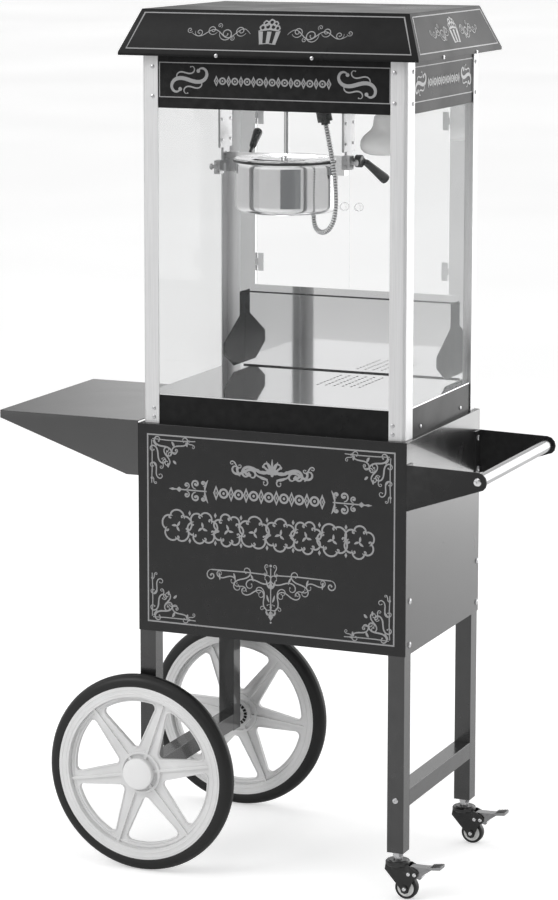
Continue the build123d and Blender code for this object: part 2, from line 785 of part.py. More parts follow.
def build_all():
    os.makedirs("parts", exist_ok=True)
    save("cabinet_front_panel", front_panel())
    save("cabinet_side_left", side_panel("left"))
    save("cabinet_side_right", side_panel("right"))
    save("cabinet_shelves", cabinet_top() + cabinet_floor())
    save("legs", legs())
    save("cross_members", cross_members())
    save("axle", axle())
    save("axle_caps", axle_caps())
    save("caster_stems", caster_stems())
    save("side_tray", tray_shelf() + tray_brackets())
    save("handle_arms", handle_arms())
    save("handle_tube", handle_tube())
    save("corner_posts", corner_posts())
    save("base_rails", base_rails())
    save("deck", deck())
    save("drawer_runners", drawer_runners())
    save("glass_panes", glass_panes())
    save("rear_frame", rear_panel() + door_stiles())
    save("rear_wings", rear_wings())
    save("header_panels", header_panels() + control_panel())
    save("switch_frames", switch_frames())
    save("mains_inlet", mains_inlet())
    save("ceiling_plate", ceiling_plate())
    save("hood", hood())
    save("gear_motor", gear_motor())
    save("kettle_hangers", kettle_hangers())
    save("kettle_plug", kettle_plug())
    save("kettle_hose", hose())
    save("lamp_holder", lamp_holder())
    save("lamp_bulb", lamp_bulb())
    save("door_hinges", door_hinges())
    save("fasteners", fasteners())
    save("wheel_front_rim", wheel_rim(front_wheel_inner_y, -1, front_spoke_phase))
    save("wheel_front_tyre", wheel_tyre(front_wheel_inner_y, -1))
    save("wheel_rear_rim", wheel_rim(rear_wheel_inner_y, 1, rear_spoke_phase))
    save("wheel_rear_tyre", wheel_tyre(rear_wheel_inner_y, 1))
    for name, y in (("front", caster_y[0]), ("rear", caster_y[1])):
        save("caster_" + name + "_fork", caster_fork(y))
        save("caster_" + name + "_core", caster_core(y))
        save("caster_" + name + "_tyre", caster_tyre(y))
        save("caster_" + name + "_pedal", caster_pedal(y))
    save("storage_door", storage_door())
    save("crumb_drawer", crumb_drawer())
    for side in ("left", "right"):
        save("glass_door_" + side, glass_door(side))
        save("door_fittings_" + side, door_fittings(side))
    save("kettle_pot", kettle_pot())
    save("kettle_lid", kettle_lid())
    save("lid_flap", lid_flap())
    save("lid_grip", lid_grip())
    save("dump_lever", dump_lever())
    save("stirrer", stirrer())
    save("drive_coupling", drive_coupling())
    for name, x in zip(("switch_motor", "switch_heat", "switch_lamp"), switch_x):
        save(name, rocker(x))


build_all()
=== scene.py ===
import json
import random
from math import atan2, cos, degrees, hypot, pi, radians, sin

import bmesh
import bpy
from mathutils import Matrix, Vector


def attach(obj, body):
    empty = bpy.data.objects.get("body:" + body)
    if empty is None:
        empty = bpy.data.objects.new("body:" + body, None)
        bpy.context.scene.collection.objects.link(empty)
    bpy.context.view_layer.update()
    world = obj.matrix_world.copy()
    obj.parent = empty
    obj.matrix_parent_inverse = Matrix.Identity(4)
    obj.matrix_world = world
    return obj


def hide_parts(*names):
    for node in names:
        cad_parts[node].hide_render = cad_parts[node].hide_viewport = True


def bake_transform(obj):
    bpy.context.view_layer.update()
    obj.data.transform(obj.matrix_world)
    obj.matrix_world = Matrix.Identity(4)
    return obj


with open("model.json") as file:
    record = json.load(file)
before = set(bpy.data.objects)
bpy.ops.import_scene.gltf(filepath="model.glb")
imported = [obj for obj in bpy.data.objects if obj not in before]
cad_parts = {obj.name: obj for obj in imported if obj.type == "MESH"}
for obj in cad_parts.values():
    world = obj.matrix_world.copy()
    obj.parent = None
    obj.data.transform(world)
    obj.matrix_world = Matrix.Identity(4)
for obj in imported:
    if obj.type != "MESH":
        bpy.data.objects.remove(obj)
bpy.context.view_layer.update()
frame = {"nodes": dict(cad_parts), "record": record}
print("frame loaded")

# the cabinet's front left corner in the row frame; drawings below are in mm from it
cornerX = -185.75
cornerY = -195.0


def at(x, y, z):
    return Vector(((x + cornerX) / 1000, (y + cornerY) / 1000, z / 1000))


def addNode(tree, kind, links=(), values=(), **settings):
    # one node with its settings, the sockets that feed it and its constants
    node = tree.nodes.new(kind)
    for label, value in settings.items():
        setattr(node, label, value)
    for label, source in dict(links).items():
        tree.links.new(source, node.inputs[label])
    for label, value in dict(values).items():
        node.inputs[label].default_value = value
    return node


def mathNode(tree, kind, a, b=None, clamp=False):
    node = addNode(tree, "ShaderNodeMath", operation=kind, use_clamp=clamp)
    for index, value in enumerate((a, b)):
        if isinstance(value, (int, float)):
            node.inputs[index].default_value = value
        elif value is not None:
            tree.links.new(value, node.inputs[index])
    return node.outputs[0]


# shader node groups shared by the finishes

def newGroup(name, inputs, outputs):
    group = bpy.data.node_groups.new(name, "ShaderNodeTree")
    for label, value in inputs.items():
        kind = "NodeSocketVector" if isinstance(value, tuple) else "NodeSocketFloat"
        socket = group.interface.new_socket(label, in_out="INPUT", socket_type=kind)
        socket.default_value = value
    for label in outputs:
        group.interface.new_socket(label, in_out="OUTPUT", socket_type="NodeSocketFloat")
    given = group.nodes.new("NodeGroupInput").outputs
    return group, given, group.nodes.new("NodeGroupOutput").inputs


def noiseOf(tree, scale, detail, distortion=0.0):
    coord = addNode(tree, "ShaderNodeTexCoord")
    noise = addNode(tree, "ShaderNodeTexNoise",
                    {"Vector": coord.outputs["Object"], "Scale": scale},
                    {"Detail": detail, "Distortion": distortion})
    return noise.outputs["Fac"]


def makeEdgeWear(fadeFrom=0.52, fadeTo=0.62):
    # paint rubbed through along outside edges, broken up by noise
    group, given, result = newGroup("edgeWear", {"Amount": 0.5, "Breakup": 60.0}, ["Mask"])
    geometry = addNode(group, "ShaderNodeNewGeometry")
    ramp = addNode(group, "ShaderNodeValToRGB", {"Fac": geometry.outputs["Pointiness"]})
    for stop, position in zip(ramp.color_ramp.elements, (fadeFrom, fadeTo)):
        stop.position = position
    broken = mathNode(group, "MULTIPLY", ramp.outputs["Color"],
                      noiseOf(group, given["Breakup"], 5))
    mask = mathNode(group, "MULTIPLY", broken, given["Amount"], clamp=True)
    group.links.new(mask, result["Mask"])
    return group


def makeFineGrain():
    # orange peel of paint, moulded skin of plastic: a tone and a height
    group, given, result = newGroup("fineGrain", {"Scale": 400.0, "Blotch": 6.0},
                                    ["Tone", "Height"])
    group.links.new(noiseOf(group, given["Blotch"], 4), result["Tone"])
    group.links.new(noiseOf(group, given["Scale"], 3), result["Height"])
    return group


def makeBrushing():
    # long fine streaks; Stretch squeezes the pattern across the brushing
    group, given, result = newGroup("brushing", {"Stretch": (400.0, 400.0, 6.0)},
                                    ["Tone", "Height"])
    coord = addNode(group, "ShaderNodeTexCoord")
    scaled = addNode(group, "ShaderNodeVectorMath",
                     {0: coord.outputs["Object"], 1: given["Stretch"]}, operation="MULTIPLY")
    noise = addNode(group, "ShaderNodeTexNoise", {"Vector": scaled.outputs[0]},
                    {"Scale": 1.0, "Detail": 4})
    for label in ("Tone", "Height"):
        group.links.new(noise.outputs["Fac"], result[label])
    return group


def makeSmudge():
    # faint handling marks and dust that only change how shiny a surface is
    group, given, result = newGroup("smudge", {"Scale": 9.0, "Low": 0.2, "High": 0.4},
                                    ["Roughness"])
    span = addNode(group, "ShaderNodeMapRange",
                   {"Value": noiseOf(group, given["Scale"], 6, 0.6),
                    "To Min": given["Low"], "To Max": given["High"]},
                   {"From Min": 0.3, "From Max": 0.7})
    group.links.new(span.outputs["Result"], result["Roughness"])
    return group


edgeWear = makeEdgeWear()
fineGrain = makeFineGrain()
brushing = makeBrushing()
smudge = makeSmudge()


def placeGroup(tree, group, **values):
    return addNode(tree, "ShaderNodeGroup", node_tree=group, values=values)


def mixInto(tree, factor, low, high):
    # a colour blend; either side may be a socket or a constant
    sides = {"A": low, "B": high}
    links = {label: side for label, side in sides.items() if not isinstance(side, list)}
    values = {label: side for label, side in sides.items() if isinstance(side, list)}
    node = addNode(tree, "ShaderNodeMix", dict(links, Factor=factor), values, data_type="RGBA")
    return node.outputs["Result"]


surface = {"coatRough": 0.06, "bumpDepth": 0.0004, "lighten": 0.6, "clearIor": 1.45,
           "markScale": 9.0}


def finish(name, tone, worn=None, rough=(0.25, 0.4), metal=0.0, coat=0.0, grain=(400.0, 0.05),
           wear=0.5, brush=None, blotch=6.0, alpha=1.0, rim=0.0, gloss=0.5,
           spread=0.2, glow=0.0):
    mat = bpy.data.materials.new(name)
    mat.use_nodes = True
    tree = mat.node_tree
    shader = tree.nodes["Principled BSDF"].inputs
    for label, value in (("Metallic", metal), ("Coat Weight", coat),
                         ("Coat Roughness", surface["coatRough"]),
                         ("Specular IOR Level", gloss), ("Alpha", alpha),
                         ("Emission Color", [*tone, 1]), ("Emission Strength", glow)):
        shader[label].default_value = value
    texture = (placeGroup(tree, brushing, Stretch=brush) if brush
               else placeGroup(tree, fineGrain, Scale=grain[0], Blotch=blotch)).outputs
    darker = [channel * (1 - spread) for channel in tone] + [1]
    lighter = [min(channel * (1 + spread * surface["lighten"]), 1) for channel in tone] + [1]
    colour = mixInto(tree, texture["Tone"], darker, lighter)
    if worn:
        mask = placeGroup(tree, edgeWear, Amount=wear)
        colour = mixInto(tree, mask.outputs["Mask"], colour, [*worn, 1])
    tree.links.new(colour, shader["Base Color"])
    marks = placeGroup(tree, smudge, Scale=surface["markScale"], Low=rough[0], High=rough[1])
    tree.links.new(marks.outputs["Roughness"], shader["Roughness"])
    bump = addNode(tree, "ShaderNodeBump", {"Height": texture["Height"]},
                   {"Strength": grain[1], "Distance": surface["bumpDepth"]})
    tree.links.new(bump.outputs["Normal"], shader["Normal"])
    if rim:
        # clear sheet: almost nothing face on, more of it as the eye goes edge on
        fresnel = addNode(tree, "ShaderNodeFresnel", values={"IOR": surface["clearIor"]})
        more = mathNode(tree, "MULTIPLY", fresnel.outputs["Fac"], rim)
        tree.links.new(mathNode(tree, "ADD", more, alpha, clamp=True), shader["Alpha"])
    return mat


looks = {
    "cabinetPaint": dict(tone=(0.0065, 0.0065, 0.0068), worn=(0.1, 0.1, 0.1), rough=(0.17, 0.25),
        grain=(1100.0, 0.1), wear=0.3, gloss=0.42),
    "hoodPaint": dict(tone=(0.006, 0.006, 0.0063), worn=(0.1, 0.1, 0.1), rough=(0.26, 0.36),
        grain=(1100.0, 0.12), wear=0.3, gloss=0.1),
    "sidePaint": dict(tone=(0.005, 0.005, 0.0053), worn=(0.1, 0.1, 0.1), rough=(0.2, 0.28),
        coat=0.5, grain=(1100.0, 0.1), wear=0.35, gloss=0.7),
    "trayPaint": dict(tone=(0.006, 0.006, 0.0063), worn=(0.11, 0.11, 0.11), rough=(0.16, 0.24),
        coat=1.0, grain=(1100.0, 0.06), wear=0.4, gloss=1.0),
    "framePaint": dict(tone=(0.01, 0.01, 0.0105), worn=(0.11, 0.11, 0.11), rough=(0.24, 0.34),
        grain=(1100.0, 0.14), wear=0.35, gloss=0.42),
    "postAluminium": dict(tone=(0.76, 0.76, 0.765), worn=(0.95, 0.95, 0.95), rough=(0.34, 0.44),
        metal=0.55, grain=(0, 0.06), wear=0.3, brush=(700.0, 700.0, 9.0)),
    "mirrorSteel": dict(tone=(0.93, 0.93, 0.935), worn=(0.97, 0.97, 0.97), rough=(0.03, 0.06),
        metal=1.0, grain=(300.0, 0.0), wear=0.2, spread=0.03),
    "hangerSteel": dict(tone=(0.5, 0.5, 0.505), worn=(0.8, 0.8, 0.8), rough=(0.3, 0.42), metal=0.8,
        grain=(0, 0.02), wear=0.5, brush=(400.0, 400.0, 12.0)),
    "handleSteel": dict(tone=(0.38, 0.38, 0.385), worn=(0.6, 0.6, 0.6), rough=(0.16, 0.26),
        metal=1.0, grain=(600.0, 0.02), wear=0.2),
    # near white and barely metallic: painted light, brighter than the steel itself to stand in for
    # light the door fittings lack in the cabinet's shade
    "hingeSteel": dict(tone=(0.88, 0.88, 0.885), worn=(0.95, 0.95, 0.95), rough=(0.3, 0.45),
        metal=0.15, grain=(900.0, 0.05), wear=0.4, spread=0.08),
    "pedalSteel": dict(tone=(0.3, 0.3, 0.305), worn=(0.7, 0.7, 0.7), rough=(0.2, 0.34), metal=1.0,
        grain=(900.0, 0.08), wear=0.7),
    "kettleSteel": dict(tone=(0.93, 0.93, 0.935), worn=(0.96, 0.96, 0.96), rough=(0.06, 0.12),
        metal=1.0, grain=(0, 0.006), wear=0.25, brush=(30.0, 30.0, 700.0), spread=0.06),
    "brightChrome": dict(tone=(0.8, 0.8, 0.81), worn=(0.95, 0.95, 0.95), rough=(0.07, 0.15),
        metal=1.0, grain=(500.0, 0.01), wear=0.2),
    "zincPlate": dict(tone=(0.62, 0.62, 0.63), worn=(0.85, 0.85, 0.85), rough=(0.2, 0.34),
        metal=1.0, grain=(1200.0, 0.1), wear=0.3),
    "wheelPlastic": dict(tone=(0.8, 0.8, 0.8), worn=(0.86, 0.86, 0.86), rough=(0.4, 0.5),
        grain=(900.0, 0.12), wear=0.5, blotch=11.0),
    "capPlastic": dict(tone=(0.88, 0.88, 0.88), worn=(0.95, 0.95, 0.95), rough=(0.3, 0.38),
        coat=0.1, grain=(900.0, 0.05), wear=0.2),
    "tyreRubber": dict(tone=(0.008, 0.008, 0.008), worn=(0.05, 0.05, 0.05), rough=(0.36, 0.55),
        grain=(1500.0, 0.25), wear=0.4, gloss=0.45),
    "casterBlack": dict(tone=(0.01, 0.01, 0.01), worn=(0.3, 0.3, 0.3), rough=(0.2, 0.32), coat=0.1,
        grain=(900.0, 0.1), wear=0.4),
    "casterCore": dict(tone=(0.86, 0.86, 0.85), worn=(0.92, 0.92, 0.92), rough=(0.35, 0.5),
        grain=(900.0, 0.1), wear=0.2),
    "blackPlastic": dict(tone=(0.012, 0.012, 0.012), worn=(0.07, 0.07, 0.07), rough=(0.26, 0.38),
        coat=0.1, grain=(1300.0, 0.14), wear=0.3),
    "hoseArmour": dict(tone=(0.84, 0.84, 0.845), worn=(0.95, 0.95, 0.95), rough=(0.26, 0.38),
        metal=0.7, grain=(1500.0, 0.06), wear=0.9),
    "bulbGlass": dict(tone=(0.84, 0.84, 0.835), rough=(0.14, 0.24), coat=0.5, grain=(900.0, 0.04),
        glow=0.1),
    "lampCeramic": dict(tone=(0.7, 0.69, 0.66), rough=(0.15, 0.24), coat=0.4, grain=(600.0, 0.05)),
    "motorGrey": dict(tone=(0.15, 0.155, 0.16), worn=(0.5, 0.5, 0.5), rough=(0.35, 0.5),
        grain=(700.0, 0.2)),
    "switchRed": dict(tone=(0.4, 0.012, 0.01), worn=(0.6, 0.1, 0.1), rough=(0.15, 0.25), coat=0.3,
        grain=(900.0, 0.04)),
    "paneGlass": dict(tone=(0.58, 0.6, 0.6), rough=(0.01, 0.03), grain=(20.0, 0.0), alpha=0.015,
        rim=0.24, spread=0.01),
    "doorClear": dict(tone=(0.56, 0.58, 0.59), rough=(0.02, 0.05), grain=(20.0, 0.0), alpha=0.03,
        rim=0.3, spread=0.01),
    "paleInk": dict(tone=(0.34, 0.34, 0.345), rough=(0.45, 0.55), grain=(1500.0, 0.1), gloss=0.4),
    "sideInk": dict(tone=(0.52, 0.52, 0.525), rough=(0.35, 0.45), grain=(1500.0, 0.1), gloss=0.6),
}
finishes = {name: finish(name, **settings) for name, settings in looks.items()}


def paintGrooveShade(mat):
    # painted shade: the hose's groove attribute darkens the gaps between its turns, standing in for
    # the shade that falls in its grooves
    tree = mat.node_tree
    base = tree.nodes["Principled BSDF"].inputs["Base Color"]
    groove = addNode(tree, "ShaderNodeAttribute", attribute_name="groove")
    shaded = mixInto(tree, groove.outputs["Fac"], base.links[0].from_socket,
                     [0.05, 0.05, 0.05, 1])
    tree.links.new(shaded, base)


# painted shade between the hose's turns
paintGrooveShade(finishes["hoseArmour"])

# slots whose finish isn't simply the slot's own name
slotFinish = {"zinc": "zincPlate", "wheel_white": "wheelPlastic", "cap_white": "capPlastic",
              "wheel_tyre": "tyreRubber", "caster_tyre": "tyreRubber"}
# pieces that catch the light their own way
ownFinish = {
    "hood": "hoodPaint", "header_panels": "hoodPaint", "base_rails": "hoodPaint",
    "cabinet_side_left": "sidePaint", "cabinet_side_right": "sidePaint", "legs": "sidePaint",
    "cross_members": "sidePaint", "side_tray": "trayPaint", "kettle_hangers": "hangerSteel",
    "handle_tube": "handleSteel",
    # the door fittings take the steel whose colour carries painted light
    "door_fittings_left": "hingeSteel", "door_fittings_right": "hingeSteel",
}
nodeSlot = {part["node"]: part["material_slot"] for part in frame["record"]["subparts"]}
nodeBody = {}
for bodyName, members in frame["record"]["behaviour"]["bodies"].items():
    for member in members:
        nodeBody[member] = bodyName


def finishOf(node):
    first, *others = nodeSlot[node].split("_")
    plain = first + "".join(word.title() for word in others)
    return ownFinish.get(node, slotFinish.get(nodeSlot[node], plain))


for nodeName, piece in frame["nodes"].items():
    piece.data.materials.clear()
    piece.data.materials.append(finishes[finishOf(nodeName)])
print("finishes made")


# making pieces

def addObject(name, data):
    piece = bpy.data.objects.new(name, data)
    bpy.context.scene.collection.objects.link(piece)
    return piece


def newPiece(name, mesh, finishName):
    piece = addObject(name, mesh)
    mesh.materials.clear()
    mesh.materials.append(finishes[finishName])
    return piece


def evaluatedMesh(piece):
    bpy.context.view_layer.update()
    graph = bpy.context.evaluated_depsgraph_get()
    return bpy.data.meshes.new_from_object(piece.evaluated_get(graph))


def settle(piece):
    # turn the modifiers into plain mesh
    baked = evaluatedMesh(piece)
    piece.modifiers.clear()
    baked.materials.clear()
    for material in piece.data.materials:
        baked.materials.append(material)
    piece.data = baked
    return piece


def softenEdges(piece, width, segments=2, **settings):
    bevel = piece.modifiers.new("edges", "BEVEL")
    bevel.width = width
    bevel.segments = segments
    for label, value in settings.items():
        setattr(bevel, label, value)
    return settle(piece)


def smoothFaces(mesh, sharpFrom):
    mesh.shade_smooth()
    mesh.set_sharp_from_angle(angle=radians(sharpFrom))


def outwardMesh(mesh, fillHoles=False, weld=0.0):
    # normals turned outward, after welding and closing where asked
    work = bmesh.new()
    work.from_mesh(mesh)
    if weld:
        bmesh.ops.remove_doubles(work, verts=work.verts, dist=weld)
    gaps = [edge for edge in work.edges if edge.is_boundary] if fillHoles else []
    if gaps:
        bmesh.ops.holes_fill(work, edges=gaps)
    bmesh.ops.recalc_face_normals(work, faces=work.faces)
    work.to_mesh(mesh)
    work.free()
    return mesh


def finishPiece(piece, body, slot, *nodes):
    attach(piece, body)
    if nodes:
        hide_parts(*nodes)
    return piece


def refine(node, name, width, segments=2):
    # a copy of the CAD shape with its edges broken as the real part's are
    source = frame["nodes"][node]
    mesh = source.data.copy()
    work = bmesh.new()
    work.from_mesh(mesh)
    bmesh.ops.remove_doubles(work, verts=work.verts, dist=0.000002)
    bmesh.ops.dissolve_limit(work, angle_limit=radians(1.0), verts=work.verts,
                             edges=work.edges)
    work.to_mesh(mesh)
    work.free()
    extra = mesh.attributes.get("custom_normal")
    if extra:
        mesh.attributes.remove(extra)
    smoothFaces(mesh, 35)
    piece = newPiece(name, mesh, finishOf(node))
    softenEdges(piece, width, segments, limit_method="ANGLE", angle_limit=radians(40),
                use_clamp_overlap=True, harden_normals=True)
    return finishPiece(piece, nodeBody[node], nodeSlot[node], node)


def meshFrom(name, verts, faces):
    mesh = bpy.data.meshes.new(name)
    mesh.from_pydata([tuple(v) for v in verts], [], faces)
    mesh.validate()
    return mesh


def blockPiece(x0, x1, y0, y1, z0, z1, finishName):
    verts = [at(x, y, z) for x in (x0, x1) for y in (y0, y1) for z in (z0, z1)]
    return newPiece("block", meshFrom("block", verts, [
        (0, 1, 3, 2), (4, 6, 7, 5), (0, 4, 5, 1), (2, 3, 7, 6), (1, 5, 7, 3), (0, 2, 6, 4)]),
        finishName)


def gridFaces(rows, across, start=0, joinRows=False):
    # quads between rings of equal count, and from the last ring to the first if asked
    faces = []
    for row in range(rows if joinRows else rows - 1):
        near, far = start + row * across, start + (row + 1) % rows * across
        for step in range(across):
            after = (step + 1) % across
            faces.append((near + step, near + after, far + after, far + step))
    return faces


def lathe(name, profile, centre, axis, finishName, steps=64):
    # profile is (radius, distance along axis) in mm
    direction = Vector(axis).normalized()
    side = direction.orthogonal().normalized()
    other = direction.cross(side)
    verts = []
    for radius, distance in profile:
        for step in range(steps):
            angle = 2 * pi * step / steps
            verts.append(centre + direction * (distance / 1000)
                         + (side * cos(angle) + other * sin(angle)) * (radius / 1000))
    faces = gridFaces(len(profile), steps)
    mesh = outwardMesh(meshFrom(name, verts, faces), fillHoles=True, weld=0.000001)
    piece = newPiece(name, mesh, finishName)
    smoothFaces(mesh, 32)
    return piece


def joinPieces(pieces, name):
    # one mesh from several, all at the origin
    work = bmesh.new()
    for piece in pieces:
        work.from_mesh(piece.data)
    mesh = bpy.data.meshes.new(name)
    work.to_mesh(mesh)
    work.free()
    material = pieces[0].data.materials[0]
    for piece in pieces:
        bpy.data.objects.remove(piece)
    mesh.materials.append(material)
    mesh.set_sharp_from_angle(angle=radians(32))
    return addObject(name, mesh)


# printed decoration: flat ribbons laid on a panel

def around(u, v, reach, angle):
    return u + reach * cos(angle), v + reach * sin(angle)


ink = {"lift": 0.25, "step": 0.004, "steps": 60}


class Drawing:
    # strokes in a panel's own u and v, in mm

    def __init__(self, corner, across, up):
        self.corner = Vector(corner)
        self.across = Vector(across).normalized()
        self.up = Vector(up).normalized()
        self.out = self.across.cross(self.up)
        self.verts = []
        self.faces = []
        self.strokes = 0

    def point(self, u, v, lift):
        return self.corner + (self.across * u + self.up * v + self.out * lift) / 1000

    def strip(self, left, right, closed=False):
        # each stroke lies a hair above the last, so crossings never share a face
        start = len(self.verts)
        count = len(left)
        self.strokes += 1
        for lift in (0.0, ink["lift"] + ink["step"] * (self.strokes % ink["steps"])):
            for u, v in left + right:
                self.verts.append(self.point(u, v, lift))
        low, high = start, start + 2 * count
        for i in range(count if closed else count - 1):
            j = (i + 1) % count
            self.faces.append((high + i, high + count + i, high + count + j, high + j))
            self.faces.append((low + j, low + count + j, low + count + i, low + i))
            self.faces.append((low + i, high + i, high + j, low + j))
            self.faces.append((low + count + j, high + count + j, high + count + i,
                               low + count + i))
        if not closed:
            for i, turn in ((0, 1), (count - 1, -1)):
                cap = (low + i, low + count + i, high + count + i, high + i)
                self.faces.append(cap[::turn])

    def stroke(self, points, width, taper=0.0, closed=False):
        left, right = [], []
        count = len(points)
        for i, (u, v) in enumerate(points):
            before = points[i - 1] if closed or i else points[i]
            after = points[(i + 1) % count] if closed or i < count - 1 else points[i]
            du, dv = after[0] - before[0], after[1] - before[1]
            size = hypot(du, dv) or 1.0
            half = width / 2
            if taper:
                half *= max(0.15, sin(pi * (i + 0.6) / (count + 0.2)) ** taper)
            left.append((u - dv / size * half, v + du / size * half))
            right.append((u + dv / size * half, v - du / size * half))
        self.strip(left, right, closed)

    def frameLine(self, u0, v0, u1, v1, width):
        inner, outer = [[(u0 - d, v0 - d), (u1 + d, v0 - d), (u1 + d, v1 + d), (u0 - d, v1 + d)]
                        for d in (-width / 2, width / 2)]
        self.strip(inner, outer, closed=True)

    def ring(self, u, v, outer, inner, lobes=0, depth=0.0, turn=0.0, steps=60):
        outside, within = [], []
        for i in range(steps):
            angle = 2 * pi * i / steps
            reach = outer
            if lobes:
                reach *= 1 + depth * abs(cos(lobes * (angle + turn) / 2))
            outside.append(around(u, v, reach, angle))
            within.append(around(u, v, inner, angle))
        self.strip(within, outside, closed=True)

    def dot(self, u, v, radius, sides=24):
        self.ring(u, v, radius, radius * 0.02, steps=sides)

    def lozenge(self, u, v, wide, high, innerWide=None, innerHigh=None):
        # solid but for a pinprick, or open when an inner size is given
        sizes = ((innerWide or wide * 0.03, innerHigh or high * 0.03), (wide, high))
        inner, outer = [[(u - w, v), (u, v - h), (u + w, v), (u, v + h)] for w, h in sizes]
        self.strip(inner, outer, closed=True)

    def curl(self, u, v, radius, start, sweep, width, tail=0.12):
        # a volute winding in to its eye
        points = []
        steps = max(10, int(abs(sweep) / 12))
        for i in range(steps + 1):
            t = i / steps
            angle = radians(start + sweep * t)
            reach = radius * (1 - (1 - tail) * t)
            points.append(around(u, v, reach, angle))
        self.stroke(points, width, taper=0.35)
        self.dot(*around(u, v, radius * tail, radians(start + sweep)), width * 0.75)

    def spray(self, side, u, v, scrolls, leaves, sweep, leafWidth, bend):
        # scrolls and leaves as given to the right, mirrored to the left
        for x, y, wide, angle, flip, width in scrolls:
            self.scroll(u + side * x, v + y, wide, angle if side > 0 else 180 - angle, sweep,
                        width, flip * side)
        for x, y, angle, length in leaves:
            self.leaf(u + side * x, v + y, length, angle if side > 0 else 180 - angle,
                      leafWidth, bend * side)

    def leaf(self, u, v, length, angle, width, bend=0.25):
        left, right = [], []
        for i in range(11):
            t = i / 10
            along = length * t
            side = bend * length * t * t
            swell = width / 2 * sin(pi * (0.06 + 0.9 * t)) ** 0.8
            c, s = cos(radians(angle)), sin(radians(angle))
            centre = (u + along * c - side * s, v + along * s + side * c)
            left.append((centre[0] - s * swell, centre[1] + c * swell))
            right.append((centre[0] + s * swell, centre[1] - c * swell))
        self.strip(left, right)

    def scroll(self, u, v, wide, angle, sweep, width, flip=1):
        # an S whose bend tightens steadily towards both ends
        points = [(0.0, 0.0)]
        steps = 36
        for i in range(steps):
            turn = flip * radians(sweep) * ((i + 0.5) / steps) ** 2
            points.append((points[-1][0] + cos(turn), points[-1][1] + sin(turn)))
        reach = max(x for x, _ in points)
        size = wide / (2 * reach)
        c, s = cos(radians(angle)), sin(radians(angle))
        whole = [(-x, -y) for x, y in reversed(points[1:])] + points
        self.stroke([(u + size * (x * c - y * s), v + size * (x * s + y * c)) for x, y in whole],
                    width, taper=0.45)
        for sign in (-1, 1):
            x, y = points[-1][0] * sign, points[-1][1] * sign
            self.dot(u + size * (x * c - y * s), v + size * (x * s + y * c), width * 0.5, 14)

    def done(self, name, inkName="paleInk"):
        mesh = outwardMesh(meshFrom(name, self.verts, self.faces))
        finishPiece(newPiece(name, mesh, inkName), "cart", "cabinet_paint")


def cornerScroll(sheet, u, v, fu, fv, size):
    # filigree filling a corner: volutes along both edges and a spray of leaves
    def put(x, y):
        return u + x * fu * size, v + y * fv * size

    def turned(tilt):
        angle = radians(tilt)
        return degrees(atan2(sin(angle) * fv, cos(angle) * fu))

    for x, y, wide, angle, flip, width in (
            (0.27, 0.15, 0.42, 4, 1, 0.036), (0.15, 0.33, 0.38, 86, -1, 0.034),
            (0.66, 0.12, 0.38, 176, -1, 0.03), (0.11, 0.68, 0.32, 94, -1, 0.028),
            (0.36, 0.36, 0.32, 46, 1, 0.03), (0.5, 0.27, 0.2, 10, -1, 0.022),
            (0.27, 0.53, 0.18, 80, 1, 0.022), (0.92, 0.07, 0.17, 4, 1, 0.02),
            (0.05, 0.9, 0.14, 88, -1, 0.02)):
        cu, cv = put(x, y)
        sheet.scroll(cu, cv, wide * size, turned(angle), 330, width * size, flip * fu * fv)
    for points in ([(0.02, 0.0), (0.35, 0.012), (0.7, 0.012), (1.02, 0.0)],
                   [(0.0, 0.02), (0.012, 0.3), (0.012, 0.62), (0.0, 0.96)]):
        sheet.stroke([put(x, y) for x, y in points], 0.024 * size, taper=0.25)
    for x, y, angle, length in ((0.03, 0.03, 45, 0.15), (0.47, 0.04, 50, 0.13),
                                (0.04, 0.5, 40, 0.13), (0.8, 0.03, 60, 0.1),
                                (0.5, 0.45, 30, 0.1), (0.38, 0.5, 75, 0.1)):
        cu, cv = put(x, y)
        sheet.leaf(cu, cv, length * size, turned(angle), 0.055 * size, 0.18 * fu * fv)


def finial(sheet, u, v, wide, direction):
    # scrolled arrow that closes a row at either end
    d = direction
    sheet.stroke([(u - d * wide * 0.5, v), (u, v), (u + d * wide * 0.5, v)], wide * 0.035)
    for up in (-1, 1):
        for x, y, radius, sweep, width in ((-0.2, 0.17, 0.13, 420, 0.05),
                                           (0.06, 0.12, 0.09, -400, 0.04),
                                           (-0.4, 0.2, 0.08, -380, 0.045)):
            sheet.curl(u + d * wide * x, v + up * wide * y, wide * radius, -up * 90,
                       d * up * sweep, wide * width)
        sheet.leaf(u - d * wide * 0.45, v, wide * 0.3, 90 * up, wide * 0.06, up * d * 0.3)
    sheet.lozenge(u + d * wide * 0.27, v, wide * 0.09, wide * 0.07)
    sheet.lozenge(u + d * wide * 0.45, v, wide * 0.11, wide * 0.035)


def wave(sheet, u, v, wide, high, direction):
    # a full S scroll with a thin one above and one below
    sheet.scroll(u, v, wide * 0.86, direction * 16, 265, high * 0.2, -direction)
    for up in (-1, 1):
        sheet.scroll(u + up * direction * wide * 0.1, v + up * high * 0.36, wide * 0.44,
                     direction * 14, 230, high * 0.075, -direction)


def palmette(sheet, u, v, size, leaves=7):
    for index in range(leaves):
        angle = 90 + (index - (leaves - 1) / 2) * 150 / (leaves - 1)
        length = size * (1 - 0.055 * abs(index - (leaves - 1) / 2) ** 1.3)
        sheet.leaf(u, v, length, angle, size * 0.15, 0.0)
    sheet.dot(u, v - size * 0.05, size * 0.1)


puffs = {"seed": 11, "line": 3.1, "lobes": (5, 6, 7)}


